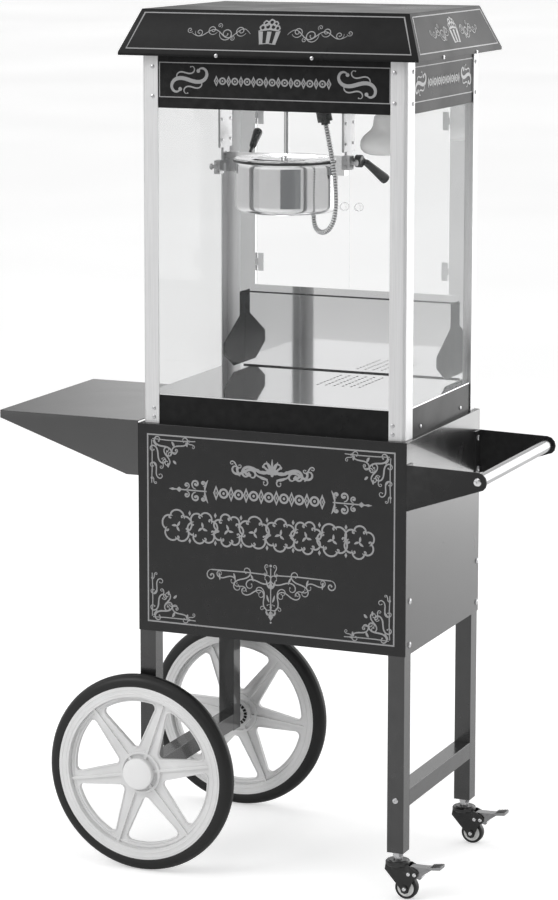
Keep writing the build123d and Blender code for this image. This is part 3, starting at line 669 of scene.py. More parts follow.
def puffRow(sheet, u0, u1, v, high, count):
    # popped kernels: a scalloped skin, creases curling in, and a hull at the heart
    chance = random.Random(puffs["seed"])
    pitch = (u1 - u0) / count
    for index in range(count):
        u = u0 + pitch * (index + 0.5)
        lobes = puffs["lobes"][index % 3]
        turn = chance.uniform(0, 360)
        skin = []
        for i in range(96):
            angle = 2 * pi * i / 96
            bump = abs(sin(lobes * (angle + radians(turn)) / 2)) ** 0.55
            reach = high * (0.35 + 0.145 * bump)
            skin.append(around(u, v, reach, angle))
        sheet.stroke(skin, puffs["line"], closed=True)
        for lobe in range(lobes):
            angle = degrees(2 * pi * lobe / lobes) - turn
            root = radians(angle)
            foot = around(*around(u, v, high * 0.33, root), high * 0.035, root + 1.6)
            sheet.curl(*foot, high * 0.085, angle - 90, 250, puffs["line"] * 0.75)
        for turnIn in (0, 120, 240):
            sheet.leaf(u, v, high * 0.17, turn + turnIn, high * 0.075, 0.25)
        if index < count - 1:
            for up in (-0.42, 0.42):
                sheet.lozenge(u + pitch / 2, v + high * up, high * 0.045, high * 0.085)


def beadBand(sheet, u0, u1, v, high, count):
    # reel and lozenge moulding with small darts between
    pitch = (u1 - u0) / count
    for index in range(count):
        u = u0 + pitch * (index + 0.5)
        if index % 2:
            sheet.ring(u, v, high * 0.34, high * 0.2, steps=28)
            sheet.dot(u, v, high * 0.09, sides=14)
        else:
            sheet.lozenge(u, v, pitch * 0.4, high * 0.5, pitch * 0.2, high * 0.27)
            sheet.lozenge(u, v, pitch * 0.1, high * 0.14)


def pendantScroll(sheet, u, v):
    # a long bar of running scrolls that falls to a drop in the middle
    for side in (-1, 1):
        sheet.stroke([(u + side * 9, v + 26), (u + side * 50, v + 27), (u + side * 112, v + 26)],
                     2.2, taper=0.2)
        sheet.curl(u + side * 112, v + 16, 10.0, 90, -430 * side, 2.3)
        sheet.spray(side, u, v, (
            (84, 15, 30, 160, 1, 2.2), (54, 14, 38, 165, -1, 2.3), (23, 12, 40, 20, -1, 2.4),
            (34, -8, 34, 145, 1, 2.2), (13, -17, 36, 100, -1, 2.2), (8, -38, 20, 70, -1, 1.8),
            (58, 1, 20, 170, 1, 1.7), (9, 34, 16, 60, 1, 1.7)), (
            (98, 22, 250, 13), (70, 23, 245, 13), (38, 24, 235, 13), (3, 2, 58, 15),
            (3, -22, 60, 13), (4, -46, 40, 9)), 330, 3.4, 0.2)
    sheet.stroke([(u, v + 38), (u, v - 42)], 2.0, taper=0.2)
    sheet.lozenge(u, v + 6, 4.2, 8.0)
    sheet.lozenge(u, v - 48, 4.6, 7.0)
    sheet.dot(u, v - 58, 1.8, sides=14)
    sheet.dot(u, v + 42, 2.4, sides=14)


def decorateCabinet():
    sheet = Drawing(at(0, 0, 0), (1, 0, 0), (0, 0, 1))
    sheet.frameLine(18.5, 446.5, 479.3, 779.3, 2.6)
    for u, fu in ((26, 1), (472, -1)):
        for v, fv in ((454, 1), (772, -1)):
            cornerScroll(sheet, u, v, fu, fv, 82)
    # crest
    palmette(sheet, 254.5, 725, 27)
    for side in (-1, 1):
        sheet.spray(side, 254.5, 0, (
            (30, 731, 44, 24, -1, 5.4), (53, 726, 36, 150, 1, 4.4), (20, 719, 26, 10, 1, 3.0),
            (68, 738, 17, 60, -1, 2.6)), (
            (8, 716, 2, 20), (40, 719, 20, 18), (60, 718, 50, 16)), 300, 5.0, 0.25)
    # moulding between two finials, where the small lettering would be
    beadBand(sheet, 142, 354.5, 685, 27, 15)
    finial(sheet, 97, 686, 68, -1)
    finial(sheet, 401, 686, 68, 1)
    # popped kernels, where the large lettering would be
    puffRow(sheet, 50, 440, 620.5, 58, 8)
    pendantScroll(sheet, 252, 523)
    sheet.done("cabinet_front_print")


def decorateHeader():
    # a border, a wave at either end and a bead band between, on each header panel
    for name, corner, across, border, waves, size, band, inkName in (
            ("front", at(0, 11.5, 0), (1, 0, 0), (39, 462), (95, 403), (68, 34),
             (140, 358, 19), "paleInk"),
            ("right", at(491, 0, 0), (0, 1, 0), (50, 340), (79, 305), (50, 32),
             (111, 272, 15), "sideInk"),
            ("left", at(9, 376.5, 0), (0, -1, 0), (36.5, 326.5), (71, 297), (50, 32),
             (104, 265, 15), "sideInk")):
        sheet = Drawing(corner, across, (0, 0, 1))
        sheet.frameLine(border[0], 1367, border[1], 1426, 1.6)
        for u, direction in zip(waves, (-1, 1)):
            wave(sheet, u, 1397, *size, direction)
        beadBand(sheet, band[0], band[1], 1396.5, 19, band[2])
        sheet.done("header_" + name + "_print", inkName)


hoodShape = {"low": 1443.6, "top": 1516.9, "halfX": 274.6, "halfY": 209.9, "topX": 244.8,
             "topY": 174.6, "x": 250.0, "y": 188.2}


def hoodEmblem(sheet, u, v):
    # a plain striped tub heaped with popped corn
    for stripe in range(5):
        low = u - 12 + stripe * 6
        high = u - 16 + stripe * 8
        if stripe % 2 == 0:
            sheet.strip([(low - 3, v - 19), (high - 4, v + 3)],
                        [(low + 3, v - 19), (high + 4, v + 3)])
    sheet.stroke([(u - 20, v + 4), (u, v + 6.5), (u + 20, v + 4)], 1.6)
    sheet.stroke([(u - 15, v - 20), (u, v - 18.5), (u + 15, v - 20)], 1.4)
    for x, y, radius in ((-13, 10, 5.2), (-4, 12, 6.0), (6, 11.5, 5.6), (14, 9.5, 4.6),
                         (-8, 18, 4.8), (2, 20, 5.2), (10, 17.5, 4.4)):
        sheet.ring(u + x, v + y, radius, radius * 0.62, lobes=5, depth=0.2, turn=x, steps=40)


def vine(sheet, side, v, lowHalf):
    # a thin tendril of loops running out from the emblem
    reach = lowHalf / 274.6
    points = []
    for i in range(90):
        t = i / 89
        swing = sin(2 * pi * 2.0 * t) * (1 - 0.45 * t)
        points.append((side * (34 + 108 * t) * reach, v + 9.5 * swing - 2))
    sheet.stroke(points, 1.5, taper=0.25)
    for x, y, radius, start, sweep, width in ((52, 3, 10.5, 200, 520, 1.5),
                                              (78, -3, 13.0, 20, -560, 1.6),
                                              (104, 4, 9.5, 200, 500, 1.4),
                                              (128, -1, 8.0, 20, -480, 1.3),
                                              (146, 3, 5.5, 200, 430, 1.2),
                                              (66, -11, 5.0, 60, 420, 1.1),
                                              (92, 12, 5.0, 240, -420, 1.1)):
        sheet.curl(side * x * reach, v + y, radius, start if side > 0 else 180 - start,
                   sweep * side, width, tail=0.2)


def decorateHood():
    h = hoodShape
    rise = h["top"] - h["low"]
    inX, inY = h["halfX"] - h["topX"], h["halfY"] - h["topY"]
    frontHalf, sideHalf = (h["halfX"], h["topX"]), (h["halfY"], h["topY"])
    runs = {
        "front": ((0, -h["halfY"]), (1, 0, 0), (0, inY, rise), frontHalf),
        "right": ((h["halfX"], 0), (0, 1, 0), (-inX, 0, rise), sideHalf),
        "left": ((-h["halfX"], 0), (0, -1, 0), (inX, 0, rise), sideHalf),
        "back": ((0, h["halfY"]), (-1, 0, 0), (0, -inY, rise), frontHalf),
    }
    for name, ((dx, dy), across, up, (lowHalf, topHalf)) in runs.items():
        sheet = Drawing(at(h["x"] + dx, h["y"] + dy, h["low"]), across, up)
        tall = Vector(up).length
        slope = (lowHalf - topHalf) / tall

        def border(inset, thick):
            low, high = 7.0, tall - 6.0
            wide, narrow = lowHalf - slope * low - inset - 2, lowHalf - slope * high - inset
            return [(-wide, low + thick), (wide, low + thick), (narrow, high - thick),
                    (-narrow, high - thick)]

        sheet.strip(border(11, 1.8), border(9, 0.0), closed=True)
        mid = tall / 2
        hoodEmblem(sheet, 0, mid)
        for side in (-1, 1):
            vine(sheet, side, mid, lowHalf)
        sheet.done("hood_" + name + "_print", "paleInk" if name == "front" else "sideInk")


decorateCabinet()
decorateHeader()
decorateHood()
print("printed decoration laid")


# refined CAD shapes

edgeWidths = {
    "cabinet_front_panel": 0.0007, "cabinet_side_left": 0.0006, "cabinet_side_right": 0.0006,
    "side_tray": 0.0007, "legs": 0.0007, "cross_members": 0.0007, "handle_arms": 0.0009,
    "corner_posts": 0.0006, "base_rails": 0.0004, "rear_frame": 0.0004, "rear_wings": 0.0005,
    "header_panels": 0.0004, "hood": 0.0007, "kettle_hangers": 0.0005, "storage_door": 0.0004,
    "crumb_drawer": 0.0003, "switch_frames": 0.0005, "switch_motor": 0.0007,
    "switch_heat": 0.0007, "switch_lamp": 0.0007, "mains_inlet": 0.0004,
    "glass_panes": 0.0004, "glass_door_left": 0.0004, "glass_door_right": 0.0004,
    "door_fittings_left": 0.0003, "door_fittings_right": 0.0003, "door_hinges": 0.0004,
    "gear_motor": 0.001, "drive_coupling": 0.0004, "stirrer": 0.0003,
    "wheel_front_rim": 0.0004, "wheel_rear_rim": 0.0004, "caster_front_fork": 0.0006,
    "caster_rear_fork": 0.0006, "caster_front_pedal": 0.0004, "caster_rear_pedal": 0.0004,
    "caster_stems": 0.0005, "kettle_plug": 0.0008,
}
for nodeName, width in edgeWidths.items():
    refine(nodeName, nodeName + "_shape", width, 3 if width > 0.0006 else 2)
print("cad shapes refined")


# screws and bolts, placed by geometry nodes

def headMesh(name, radius, height, recess):
    # a pan head with a cross recess, facing +Z
    mesh = bpy.data.meshes.new(name)
    work = bmesh.new()
    rings = [(radius, 0.0), (radius, height * 0.35), (radius * 0.86, height * 0.78),
             (radius * 0.5, height)]
    steps = 16
    rows = []
    for reach, lift in rings:
        rows.append([work.verts.new((reach * cos(2 * pi * i / steps),
                                     reach * sin(2 * pi * i / steps), lift))
                     for i in range(steps)])
    for low, high in zip(rows, rows[1:]):
        for i in range(steps):
            j = (i + 1) % steps
            work.faces.new((low[i], low[j], high[j], high[i]))
    # the recess is a four pointed star sunk in the crown
    star = []
    for i in range(steps):
        reach = radius * (0.4 if i % 4 == 0 else 0.14)
        star.append((reach * cos(2 * pi * i / steps),
                     reach * sin(2 * pi * i / steps)))
    lip = [work.verts.new((x, y, height)) for x, y in star]
    floor = [work.verts.new((x * 0.8, y * 0.8, height - recess)) for x, y in star]
    for i in range(steps):
        j = (i + 1) % steps
        work.faces.new((rows[-1][i], rows[-1][j], lip[j], lip[i]))
        work.faces.new((lip[i], lip[j], floor[j], floor[i]))
    work.faces.new(floor)
    work.faces.new(rows[0][::-1])
    bmesh.ops.recalc_face_normals(work, faces=work.faces)
    work.to_mesh(mesh)
    work.free()
    return mesh


def scatterTree():
    tree = bpy.data.node_groups.new("placeHeads", "GeometryNodeTree")
    for label, kind, value in (("Geometry", "Geometry", None), ("Head", "Object", None),
                               ("Finish", "Material", None), ("Size", "Float", 1.0),
                               ("Turn Seed", "Int", 4), ("Spin", "Float", 6.28)):
        socket = tree.interface.new_socket(label, in_out="INPUT",
                                           socket_type="NodeSocket" + kind)
        if value is not None:
            socket.default_value = value
    tree.interface.new_socket("Geometry", in_out="OUTPUT", socket_type="NodeSocketGeometry")
    given = tree.nodes.new("NodeGroupInput").outputs
    head = addNode(tree, "GeometryNodeObjectInfo", {"Object": given["Head"]})
    facing = addNode(tree, "GeometryNodeInputNamedAttribute", values={"Name": "facing"},
                     data_type="FLOAT_VECTOR")
    aim = addNode(tree, "FunctionNodeAlignRotationToVector",
                  {"Vector": facing.outputs["Attribute"]}, axis="Z")
    turn = addNode(tree, "FunctionNodeRandomValue",
                   {"Seed": given["Turn Seed"], "Max": given["Spin"]}, {"Min": 0.0},
                   data_type="FLOAT")
    spin = addNode(tree, "FunctionNodeAxisAngleToRotation", {"Angle": turn.outputs["Value"]})
    both = addNode(tree, "FunctionNodeRotateRotation",
                   {"Rotation": aim.outputs["Rotation"], "Rotate By": spin.outputs["Rotation"]},
                   rotation_space="LOCAL")
    place = addNode(tree, "GeometryNodeInstanceOnPoints",
                    {"Points": given["Geometry"], "Instance": head.outputs["Geometry"],
                     "Rotation": both.outputs["Rotation"], "Scale": given["Size"]})
    real = addNode(tree, "GeometryNodeRealizeInstances", {"Geometry": place.outputs["Instances"]})
    paint = addNode(tree, "GeometryNodeSetMaterial",
                    {"Geometry": real.outputs["Geometry"], "Material": given["Finish"]})
    addNode(tree, "NodeGroupOutput", {"Geometry": paint.outputs["Geometry"]})
    return tree


placeHeads = scatterTree()


def placeAll(name, spots, head, finishName, body, slot, replaced=(), size=1.0, spin=6.28):
    mesh = bpy.data.meshes.new(name)
    mesh.from_pydata([tuple(spot) for spot, _ in spots], [], [])
    facing = mesh.attributes.new("facing", "FLOAT_VECTOR", "POINT")
    for index, (_, direction) in enumerate(spots):
        facing.data[index].vector = direction
    piece = newPiece(name, mesh, finishName)
    prototype = addObject(name + "_head", head)
    modifier = piece.modifiers.new("heads", "NODES")
    modifier.node_group = placeHeads
    given = {"Head": prototype, "Finish": finishes[finishName], "Size": size, "Spin": spin}
    for item in placeHeads.interface.items_tree:
        if item.item_type == "SOCKET" and item.in_out == "INPUT" and item.name in given:
            modifier[item.identifier] = given[item.name]
    smoothFaces(settle(piece).data, 32)
    bpy.data.objects.remove(prototype)
    return finishPiece(piece, body, slot, *replaced)


left, right, front, back = (-1, 0, 0), (1, 0, 0), (0, -1, 0), (0, 1, 0)
screws = {"postRadius": 3.6, "boltRadius": 5.4, "endRadius": 7.0}
smallHead = headMesh("small_head", screws["postRadius"] / 1000, 0.0019, 0.0009)
boltHead = headMesh("bolt_head", screws["boltRadius"] / 1000, 0.0025, 0.0011)
endHead = headMesh("end_head", screws["endRadius"] / 1000, 0.0025, 0.0014)
small = [(at(x, 9.5, z), front) for x in (26.6, 471) for z in (1418.5, 1367.5, 824, 809)]
small += [(at(x, y, z), way) for y in (39, 351) for z in (1419, 1365.5)
          for x, way in ((493, right), (7, left))]
small += [(at(491, y, 812), right) for y in (291, 90)]
small += [(at(x, -21.7, 1441.2), front) for x in (160, 335)]
small += [(at(524.6, y, 1441.2), right) for y in (98, 265)]
large = [(at(x, y, z), way) for y in (20, 362) for z in (522, 446)
         for x, way in ((500, right), (0, left))]
large += [(at(483.5, y, 174.5), way) for y, way in ((1.5, front), (370.5, back))]
large += [(at(502.5, y, z), right) for y in (14, 358) for z in (747.5, 692)]
placeAll("post_screws", small, smallHead, "zincPlate", "cart", "zinc")
placeAll("frame_bolts", large, boltHead, "zincPlate", "cart", "zinc", ("fasteners",))
placeAll("handle_end_bolts", [(at(626.5, 0, 741), front), (at(626.5, 372, 741), back)],
         endHead, "brightChrome", "cart", "zinc")
hingeHeights = (1026, 1295)
placeAll("stile_screws",
         [(at(x0 + out * 8.5, 365, z + dz), back) for x0, out in ((66, -1), (442, 1))
          for z in hingeHeights for dz in (7, 26)],
         smallHead, "zincPlate", "cart", "zinc", size=0.7)
for side, x in (("left", 75.5), ("right", 432.5)):
    placeAll("door_screws_" + side,
             [(at(x, 366.4, z + dz), back) for z in hingeHeights for dz in (5, 28)],
             smallHead, "zincPlate", side + "_glass_door", "zinc", size=0.6)
print("screws placed")


# running gear

wheel = {"rimOuter": 155.9, "width": 28.0, "x": 12.8, "z": 176.6}
treadHalf = [(0, 0.0), (2.5, -0.9), (6.5, -1.0), (11, -0.5), (14.2, 0.8), (16.8, 3.0),
             (18.6, 5.6), (19.4, 7.2), (18.9, 7.7), (19.9, 8.4), (20.7, 11.5)]


def wheelLathe(name, profile, y, out, finishName, steps):
    return lathe(name, [(r, d * out) for r, d in profile], at(wheel["x"], y, wheel["z"]),
                 (0, 1, 0), finishName, steps)


def buildTyre(name, node, innerY, out):
    # a rounded tread with two fine grooves and a bead against the rim
    mirrored = [(rise, wheel["width"] - d) for rise, d in reversed(treadHalf)]
    profile = [(wheel["rimOuter"] + rise, d) for rise, d in treadHalf + mirrored + [(0, 0.0)]]
    piece = wheelLathe(name, profile, innerY, out, "tyreRubber", 120)
    finishPiece(piece, nodeBody[node], "wheel_tyre", node)


def buildHubRing(name, body, innerY, out):
    # segmented black bush on the hub's inner face
    verts, faces = [], []
    count = 18
    for index in range(count):
        a0 = 2 * pi * index / count
        a1 = a0 + 2 * pi / count * 0.72
        start = len(verts)
        for lift in (-0.02, -0.9):
            for reach in (15.5, 21.5):
                for angle in (a0, (a0 + a1) / 2, a1):
                    verts.append(at(wheel["x"] + reach * cos(angle), innerY + lift * out
                                    + 0.3 * out, wheel["z"] + reach * sin(angle)))
        for i in (0, 1):
            faces.append((start + i, start + i + 1, start + i + 4, start + i + 3))
            faces.append((start + 6 + i, start + 9 + i, start + 10 + i, start + 7 + i))
            faces.append((start + i, start + 6 + i, start + 7 + i, start + i + 1))
            faces.append((start + 3 + i, start + 4 + i, start + 10 + i, start + 9 + i))
        faces.append((start, start + 3, start + 9, start + 6))
        faces.append((start + 2, start + 8, start + 11, start + 5))
    mesh = outwardMesh(meshFrom(name, verts, faces))
    finishPiece(newPiece(name, mesh, "blackPlastic"), body, "black_plastic")


def buildRimLips(name, body, innerY, out):
    # stepped beads on the rim's outer and inner face and a collar round the hub
    lips = []
    for faces, beads, top, steps in (
            ((0.0, wheel["width"]), ((151.5, 1.6, 0.7), (143.5, 1.2, 0.6)), 0.6, 120),
            ((11.0, 17.0), ((36.0, 3.0, 4.6), (134.5, 2.2, 1.6)), 0.7, 96)):
        for face, sign in zip(faces, (-1, 1)):
            for radius, wide, high in beads:
                lift = face + sign * high
                profile = [(radius - wide, face), (radius - wide * top, lift),
                           (radius + wide * top, lift), (radius + wide, face),
                           (radius - wide, face)]
                lips.append(wheelLathe("lip", profile, innerY, out, "wheelPlastic", steps))
    finishPiece(joinPieces(lips, name), body, "wheel_white")


def openingOutline(phase, grow):
    # the rounded triangle between two spokes, grown outwards by a few mm
    inner, outer, half, corner = 54.0, 120.0, 20.5, 8.0 + grow

    def polar(radius, tilt):
        return Vector(around(0, 0, radius, radians(tilt)))

    path = [polar(inner, phase)]
    path += [polar(outer, phase - half + 2 * half * i / 16) for i in range(17)]
    centre = polar(92, phase)
    outline = []
    count = len(path)
    for i, point in enumerate(path):
        before, after = path[i - 1], path[(i + 1) % count]
        first = (point - before).normalized()
        second = (after - point).normalized()
        start = Vector((first.y, -first.x))
        end = Vector((second.y, -second.x))
        steps = max(1, int(degrees(start.angle(end)) / 12))
        for k in range(steps + 1):
            outward = start.lerp(end, k / steps).normalized()
            outline.append(point + outward * corner)
    return outline


def buildOpeningLips(name, body, innerY, out, phase):
    verts, faces = [], []
    for index in range(6):
        turn = phase + 30 + 60 * index
        near = openingOutline(turn, 0.1)
        far = openingOutline(turn, 2.2)
        for face, rise in ((11.0, -1.7), (17.0, 1.7)):
            rows = [(near, 0.0), (near, rise * 0.75), (openingOutline(turn, 0.7), rise),
                    (openingOutline(turn, 1.6), rise), (far, rise * 0.75), (far, 0.0)]
            start = len(verts)
            for outline, lift in rows:
                for point in outline:
                    verts.append(at(wheel["x"] + point.x, innerY + out * (face + lift),
                                    wheel["z"] + point.y))
            faces += gridFaces(len(rows), len(near), start, joinRows=True)
    mesh = outwardMesh(meshFrom(name, verts, faces))
    smoothFaces(mesh, 50)
    finishPiece(newPiece(name, mesh, "wheelPlastic"), body, "wheel_white")


for side, innerY, out, phase in (("front", -5.0, -1, 11.0), ("rear", 395.0, 1, -6.0)):
    buildOpeningLips("opening_lips_" + side, side + "_wheel", innerY, out, phase)
    buildTyre("tyre_" + side, "wheel_" + side + "_tyre", innerY, out)
    buildRimLips("rim_beads_" + side, side + "_wheel", innerY, out)
buildHubRing("hub_bush_rear", "rear_wheel", 395.0, 1)
capProfile = [(0, 0.2), (27.6, 0.2), (28, 0.6), (28, 4.6), (27, 6.0), (24, 6.9), (16, 7.5),
              (0, 7.9)]
caps = [wheelLathe("cap", capProfile, y, out, "capPlastic", 72)
        for y, out in ((-33.3, -1), (423.3, 1))]
finishPiece(joinPieces(caps, "wheel_caps"), "cart", "cap_white", "axle_caps")

caster = {"x": 483.5, "trail": 17.0, "axleZ": 20, "rivetsX": (24, 35), "rivetZ": 47,
          "ribLong": 10.8, "ribWide": 0.75, "ribHigh": 1.15, "ribCount": 6, "ribX": 64.2,
          "ribZ": 62.85, "ribPitch": 2.9, "ribClimb": 0.43}
ribHead = meshFrom("pedal_rib", [(x * caster["ribWide"] / 1000, y * caster["ribLong"] / 1000,
                                  z * caster["ribHigh"] / 1000)
                                 for x, z in ((-1, -1), (-1, 0.4), (-0.4, 1), (0.4, 1),
                                              (1, 0.4), (1, -1)) for y in (-1, 1)],
                   [(0, 1, 3, 2), (2, 3, 5, 4), (4, 5, 7, 6), (6, 7, 9, 8), (8, 9, 11, 10),
                    (10, 11, 1, 0), (0, 2, 4, 6, 8, 10), (11, 9, 7, 5, 3, 1)])
for side, y in (("front", 16.5), ("rear", 355.5)):
    centre = at(caster["x"] + caster["trail"], y, caster["axleZ"])
    tread = [(15, -8), (16.5, -8.6), (18.2, -8.2), (19.4, -6.8), (20, -4.2), (20, 4.2),
             (19.4, 6.8), (18.2, 8.2), (16.5, 8.6), (15, 8), (15, -8)]
    piece = lathe("caster_tread_" + side, tread, centre, (0, 1, 0), "tyreRubber", 64)
    finishPiece(piece, "caster_" + side + "_wheel", "caster_tyre", "caster_" + side + "_tyre")
    core = [(3.1, -9.4), (6.6, -9.6), (7, -9.2), (7.4, -6.6), (12, -6.2), (13.2, -7.6),
            (14.8, -7.8), (15, -7.2), (15, 7.2), (14.8, 7.8), (13.2, 7.6), (12, 6.2),
            (7.4, 6.6), (7, 9.2), (6.6, 9.6), (3.1, 9.4), (3.1, -9.4)]
    piece = lathe("caster_hub_" + side, core, centre, (0, 1, 0), "casterCore", 48)
    finishPiece(piece, "caster_" + side + "_wheel", "caster_core", "caster_" + side + "_core")
    # axle bolt and fork rivets
    bolts = []
    for out in (-1, 1):
        bolts.append((centre + Vector((0, out * 0.0152, 0)), (0, out, 0)))
        bolts += [(at(caster["x"] + dx, y + out * 13.6, caster["rivetZ"]), (0, out, 0))
                  for dx in caster["rivetsX"]]
    placeAll("caster_rivets_" + side, bolts, smallHead, "brightChrome",
             "caster_" + side + "_swivel", "zinc", size=1.0)
    # rubber ribs across the pedal's tip
    ribSpots = [(at(caster["x"] + caster["ribX"] + index * caster["ribPitch"], y,
                    caster["ribZ"] + index * caster["ribClimb"]), (0, 0, 1))
                for index in range(caster["ribCount"])]
    placeAll("pedal_ribs_" + side, ribSpots, ribHead, "tyreRubber",
             "caster_" + side + "_brake", "caster_tyre", spin=0.0)
print("running gear built")


# kettle, lamp, hose

kettle = {"x": 201.0, "y": 188.0, "low": 1158.5, "lidRadius": 94.0, "lidZ": 1250}


def upright(name, profile, x, y, z, finishName, steps):
    return lathe(name, profile, at(x, y, z), (0, 0, 1), finishName, steps)


def buildPot():
    profile = [(0, 0), (70, 0), (79, 0.6), (85, 2.4), (88.4, 5.6), (89.8, 10), (90, 15),
               (90, 60), (90, 80), (90, 84.6), (90.9, 86.2), (92.1, 87.8), (92.5, 89.6),
               (92.4, 91), (91.6, 91.5), (87.6, 91.5), (87, 90.6), (87, 20), (85.5, 14),
               (81, 10.6), (62, 7), (0, 6)]
    parts = [upright("pot", profile, kettle["x"], kettle["y"], kettle["low"], "kettleSteel", 120)]
    # trunnion pins and ears, then the hose's gland
    for x, long in ((80, 14), (308, 24)):
        parts.append(lathe("pin", [(0, 0), (5, 0), (5, long), (0, long)],
                           at(x, kettle["y"], 1252), (1, 0, 0), "kettleSteel", 32))
    for x0, x1, in0, in1 in ((88, 110.5, 88, 106), (291.5, 314, 296, 314)):
        parts.append(blockPiece(x0, x1, 180, 196, 1226, 1246, "kettleSteel"))
        parts.append(blockPiece(in0, in1, 180, 196, 1246, 1260, "kettleSteel"))
    gland = [(0, 0), (6.5, 0), (8, 0.8), (8, 4), (7, 4.6), (7, 9), (0, 9)]
    parts.append(upright("gland", gland, 262, 166, 1158, "kettleSteel", 12))
    finishPiece(joinPieces(parts, "kettle_pot_shape"), "kettle", "kettle_steel", "kettle_pot")


def halfLid(name, low, high, shift):
    # a pressed half disc with a rolled rim and a raised ring
    r = kettle["lidRadius"]
    profile = [(12.6, 0.4), (r - 1.5, 0.4), (r, 1.2), (r, 2.4), (r - 1.2, 3.0), (r - 4, 3.0),
               (r - 6, 2.2), (60, 2.2), (58, 3.0), (54, 3.0), (52, 2.2), (12.6, 2.2)]
    steps = 60
    verts = []
    for step in range(steps + 1):
        angle = radians(low + (high - low) * step / steps)
        for reach, lift in profile:
            verts.append(at(kettle["x"] + reach * cos(angle),
                            kettle["y"] + reach * sin(angle) + shift,
                            kettle["lidZ"] + lift))
    count = len(profile)
    faces = gridFaces(steps + 1, count)
    faces.append(tuple(range(count)))
    faces.append(tuple(steps * count + i for i in range(count))[::-1])
    mesh = outwardMesh(meshFrom(name, verts, faces))
    smoothFaces(mesh, 30)
    return newPiece(name, mesh, "kettleSteel")


def buildLid():
    collar = [(4.6, 0), (11, 0), (11, 5.5), (9.5, 7), (4.6, 7), (4.6, 0)]
    fixed = [halfLid("fixed", -180, 0, 0.0),
             blockPiece(92, 310, 179, 187, 1252.4, 1260.5, "kettleSteel"),
             upright("collar", collar, kettle["x"], kettle["y"], kettle["lidZ"],
                     "kettleSteel", 40)]
    finishPiece(joinPieces(fixed, "lid_fixed_half"), "kettle", "kettle_steel", "kettle_lid")
    flap = [halfLid("flap", 0, 180, 0.6)]
    for x in (146, 256):
        flap.append(blockPiece(x - 12, x + 12, 188.7, 197.5, 1252.3, 1254.5, "kettleSteel"))
    finishPiece(joinPieces(flap, "lid_flap_half"), "kettle_flap", "kettle_steel", "lid_flap")


grips = {"lidRoot": (126, 198, 1256), "lidTip": (124, 245, 1297),
         "leverRoot": (339, 191, 1258), "leverTip": (368, 240, 1216)}


def buildGrip(name, root, tip, profile, foot, body, node):
    # a tapered handle of black plastic from root to tip, on its foot
    start, end = at(*grips[root]), at(*grips[tip])
    grip = lathe("grip", profile, start, end - start, "blackPlastic", 40)
    finishPiece(joinPieces([grip, foot], name), body, "black_plastic", node)


def buildGrips():
    foot = [(0, 0), (3.6, 0), (3.6, 5), (2.6, 6), (0, 6)]
    x, y, z = grips["lidRoot"]
    buildGrip("lid_grip_shape", "lidRoot", "lidTip",
              [(0, 0), (3, 0), (3, 17), (4.6, 17.6), (5.6, 19), (6.4, 24), (6.6, 30),
               (7.4, 40), (8.3, 50), (8.5, 55), (7.4, 57.4), (4, 58), (0, 58)],
              upright("foot", foot, x, y - 1.5, z - 3, "blackPlastic", 24),
              "kettle_flap", "lid_grip")
    hub = [(0, 0), (10, 0), (11, 1), (11, 11), (10, 12), (0, 12)]
    buildGrip("dump_lever_shape", "leverRoot", "leverTip",
              [(0, 0), (4, 0), (4, 14), (5.4, 14.6), (6.2, 17), (6.3, 22), (7.2, 38),
               (8.4, 56), (9, 66), (8.6, 69.6), (6.4, 71), (0, 71)],
              lathe("hub", hub, at(332, kettle["y"], 1252), (1, 0, 0), "blackPlastic", 40),
              "kettle", "dump_lever")


def buildLatches():
    # latch block with two rivets and a knobbed pin beside each hanger, clear of the tipping pot
    rivet = [(0, 0), (3, 0), (3, 1.6), (2.2, 2.4), (0, 2.4)]
    knob = [(0, 0), (4.5, 0), (4.5, 2), (3, 3), (3, 6), (5.5, 7), (5.5, 10), (4.5, 11), (0, 11)]
    for name, x0, x1, y0, y1, z0, z1, pinX, way in (
            ("left", 75, 86, 158, 176, 1222, 1246, 75, -1),
            ("right", 316, 331, 160, 181, 1238, 1262, 331, 1)):
        parts = [blockPiece(x0, x1, y0, y1, z0, z1, "hangerSteel")]
        parts += [lathe("rivet", rivet, at((x0 + x1) / 2, y0, z0 + dz), (0, -1, 0),
                        "hangerSteel", 20) for dz in (6, 17)]
        parts.append(lathe("knob", knob, at(pinX, (y0 + y1) / 2, (z0 + z1) / 2), (way, 0, 0),
                           "hangerSteel", 24))
        whole = joinPieces(parts, "hanger_latch_" + name)
        softenEdges(whole, 0.0005, limit_method="ANGLE")
        finishPiece(whole, "cart", "bright_chrome")
    spots = [(at(x, y, z), facing) for x, facing in ((82, left), (86, right), (316, left),
                                                     (320, right))
             for y in (170, 205) for z in (1282, 1318)]
    placeAll("hanger_rivets", spots, smallHead, "zincPlate", "cart", "zinc", size=0.8)


def buildPaintedShadowLines():
    # painted shade: a black ring under the lid's edge, and black strips along the deck's rear joint
    # and the top of the rear panel, standing in for the shadow lines there
    profile = [(92.6, 0), (93.2, 0.3), (93.4, 1.8), (93.2, 3.4), (92.6, 3.6), (92.6, 0)]
    # black ring that paints the shadow gap under the lid's edge
    ring = upright("lid_gasket", profile, kettle["x"], kettle["y"], 1246.6, "blackPlastic", 96)
    finishPiece(ring, "kettle", "black_plastic")
    # black strips that paint the shadow lines at the deck's rear joint and along the top of the
    # rear panel
    whole = joinPieces([blockPiece(43, 464, y0, 362.1, z0, z1, "tyreRubber")
                        for y0, z0, z1 in ((360.3, 850.0, 852.2), (361.0, 985.6, 988.4))],
                       "rear_joint_beads")
    softenEdges(whole, 0.0004)
    finishPiece(whole, "cart", "black_plastic")


buildPot()
buildLid()
buildGrips()
buildLatches()
buildPaintedShadowLines()

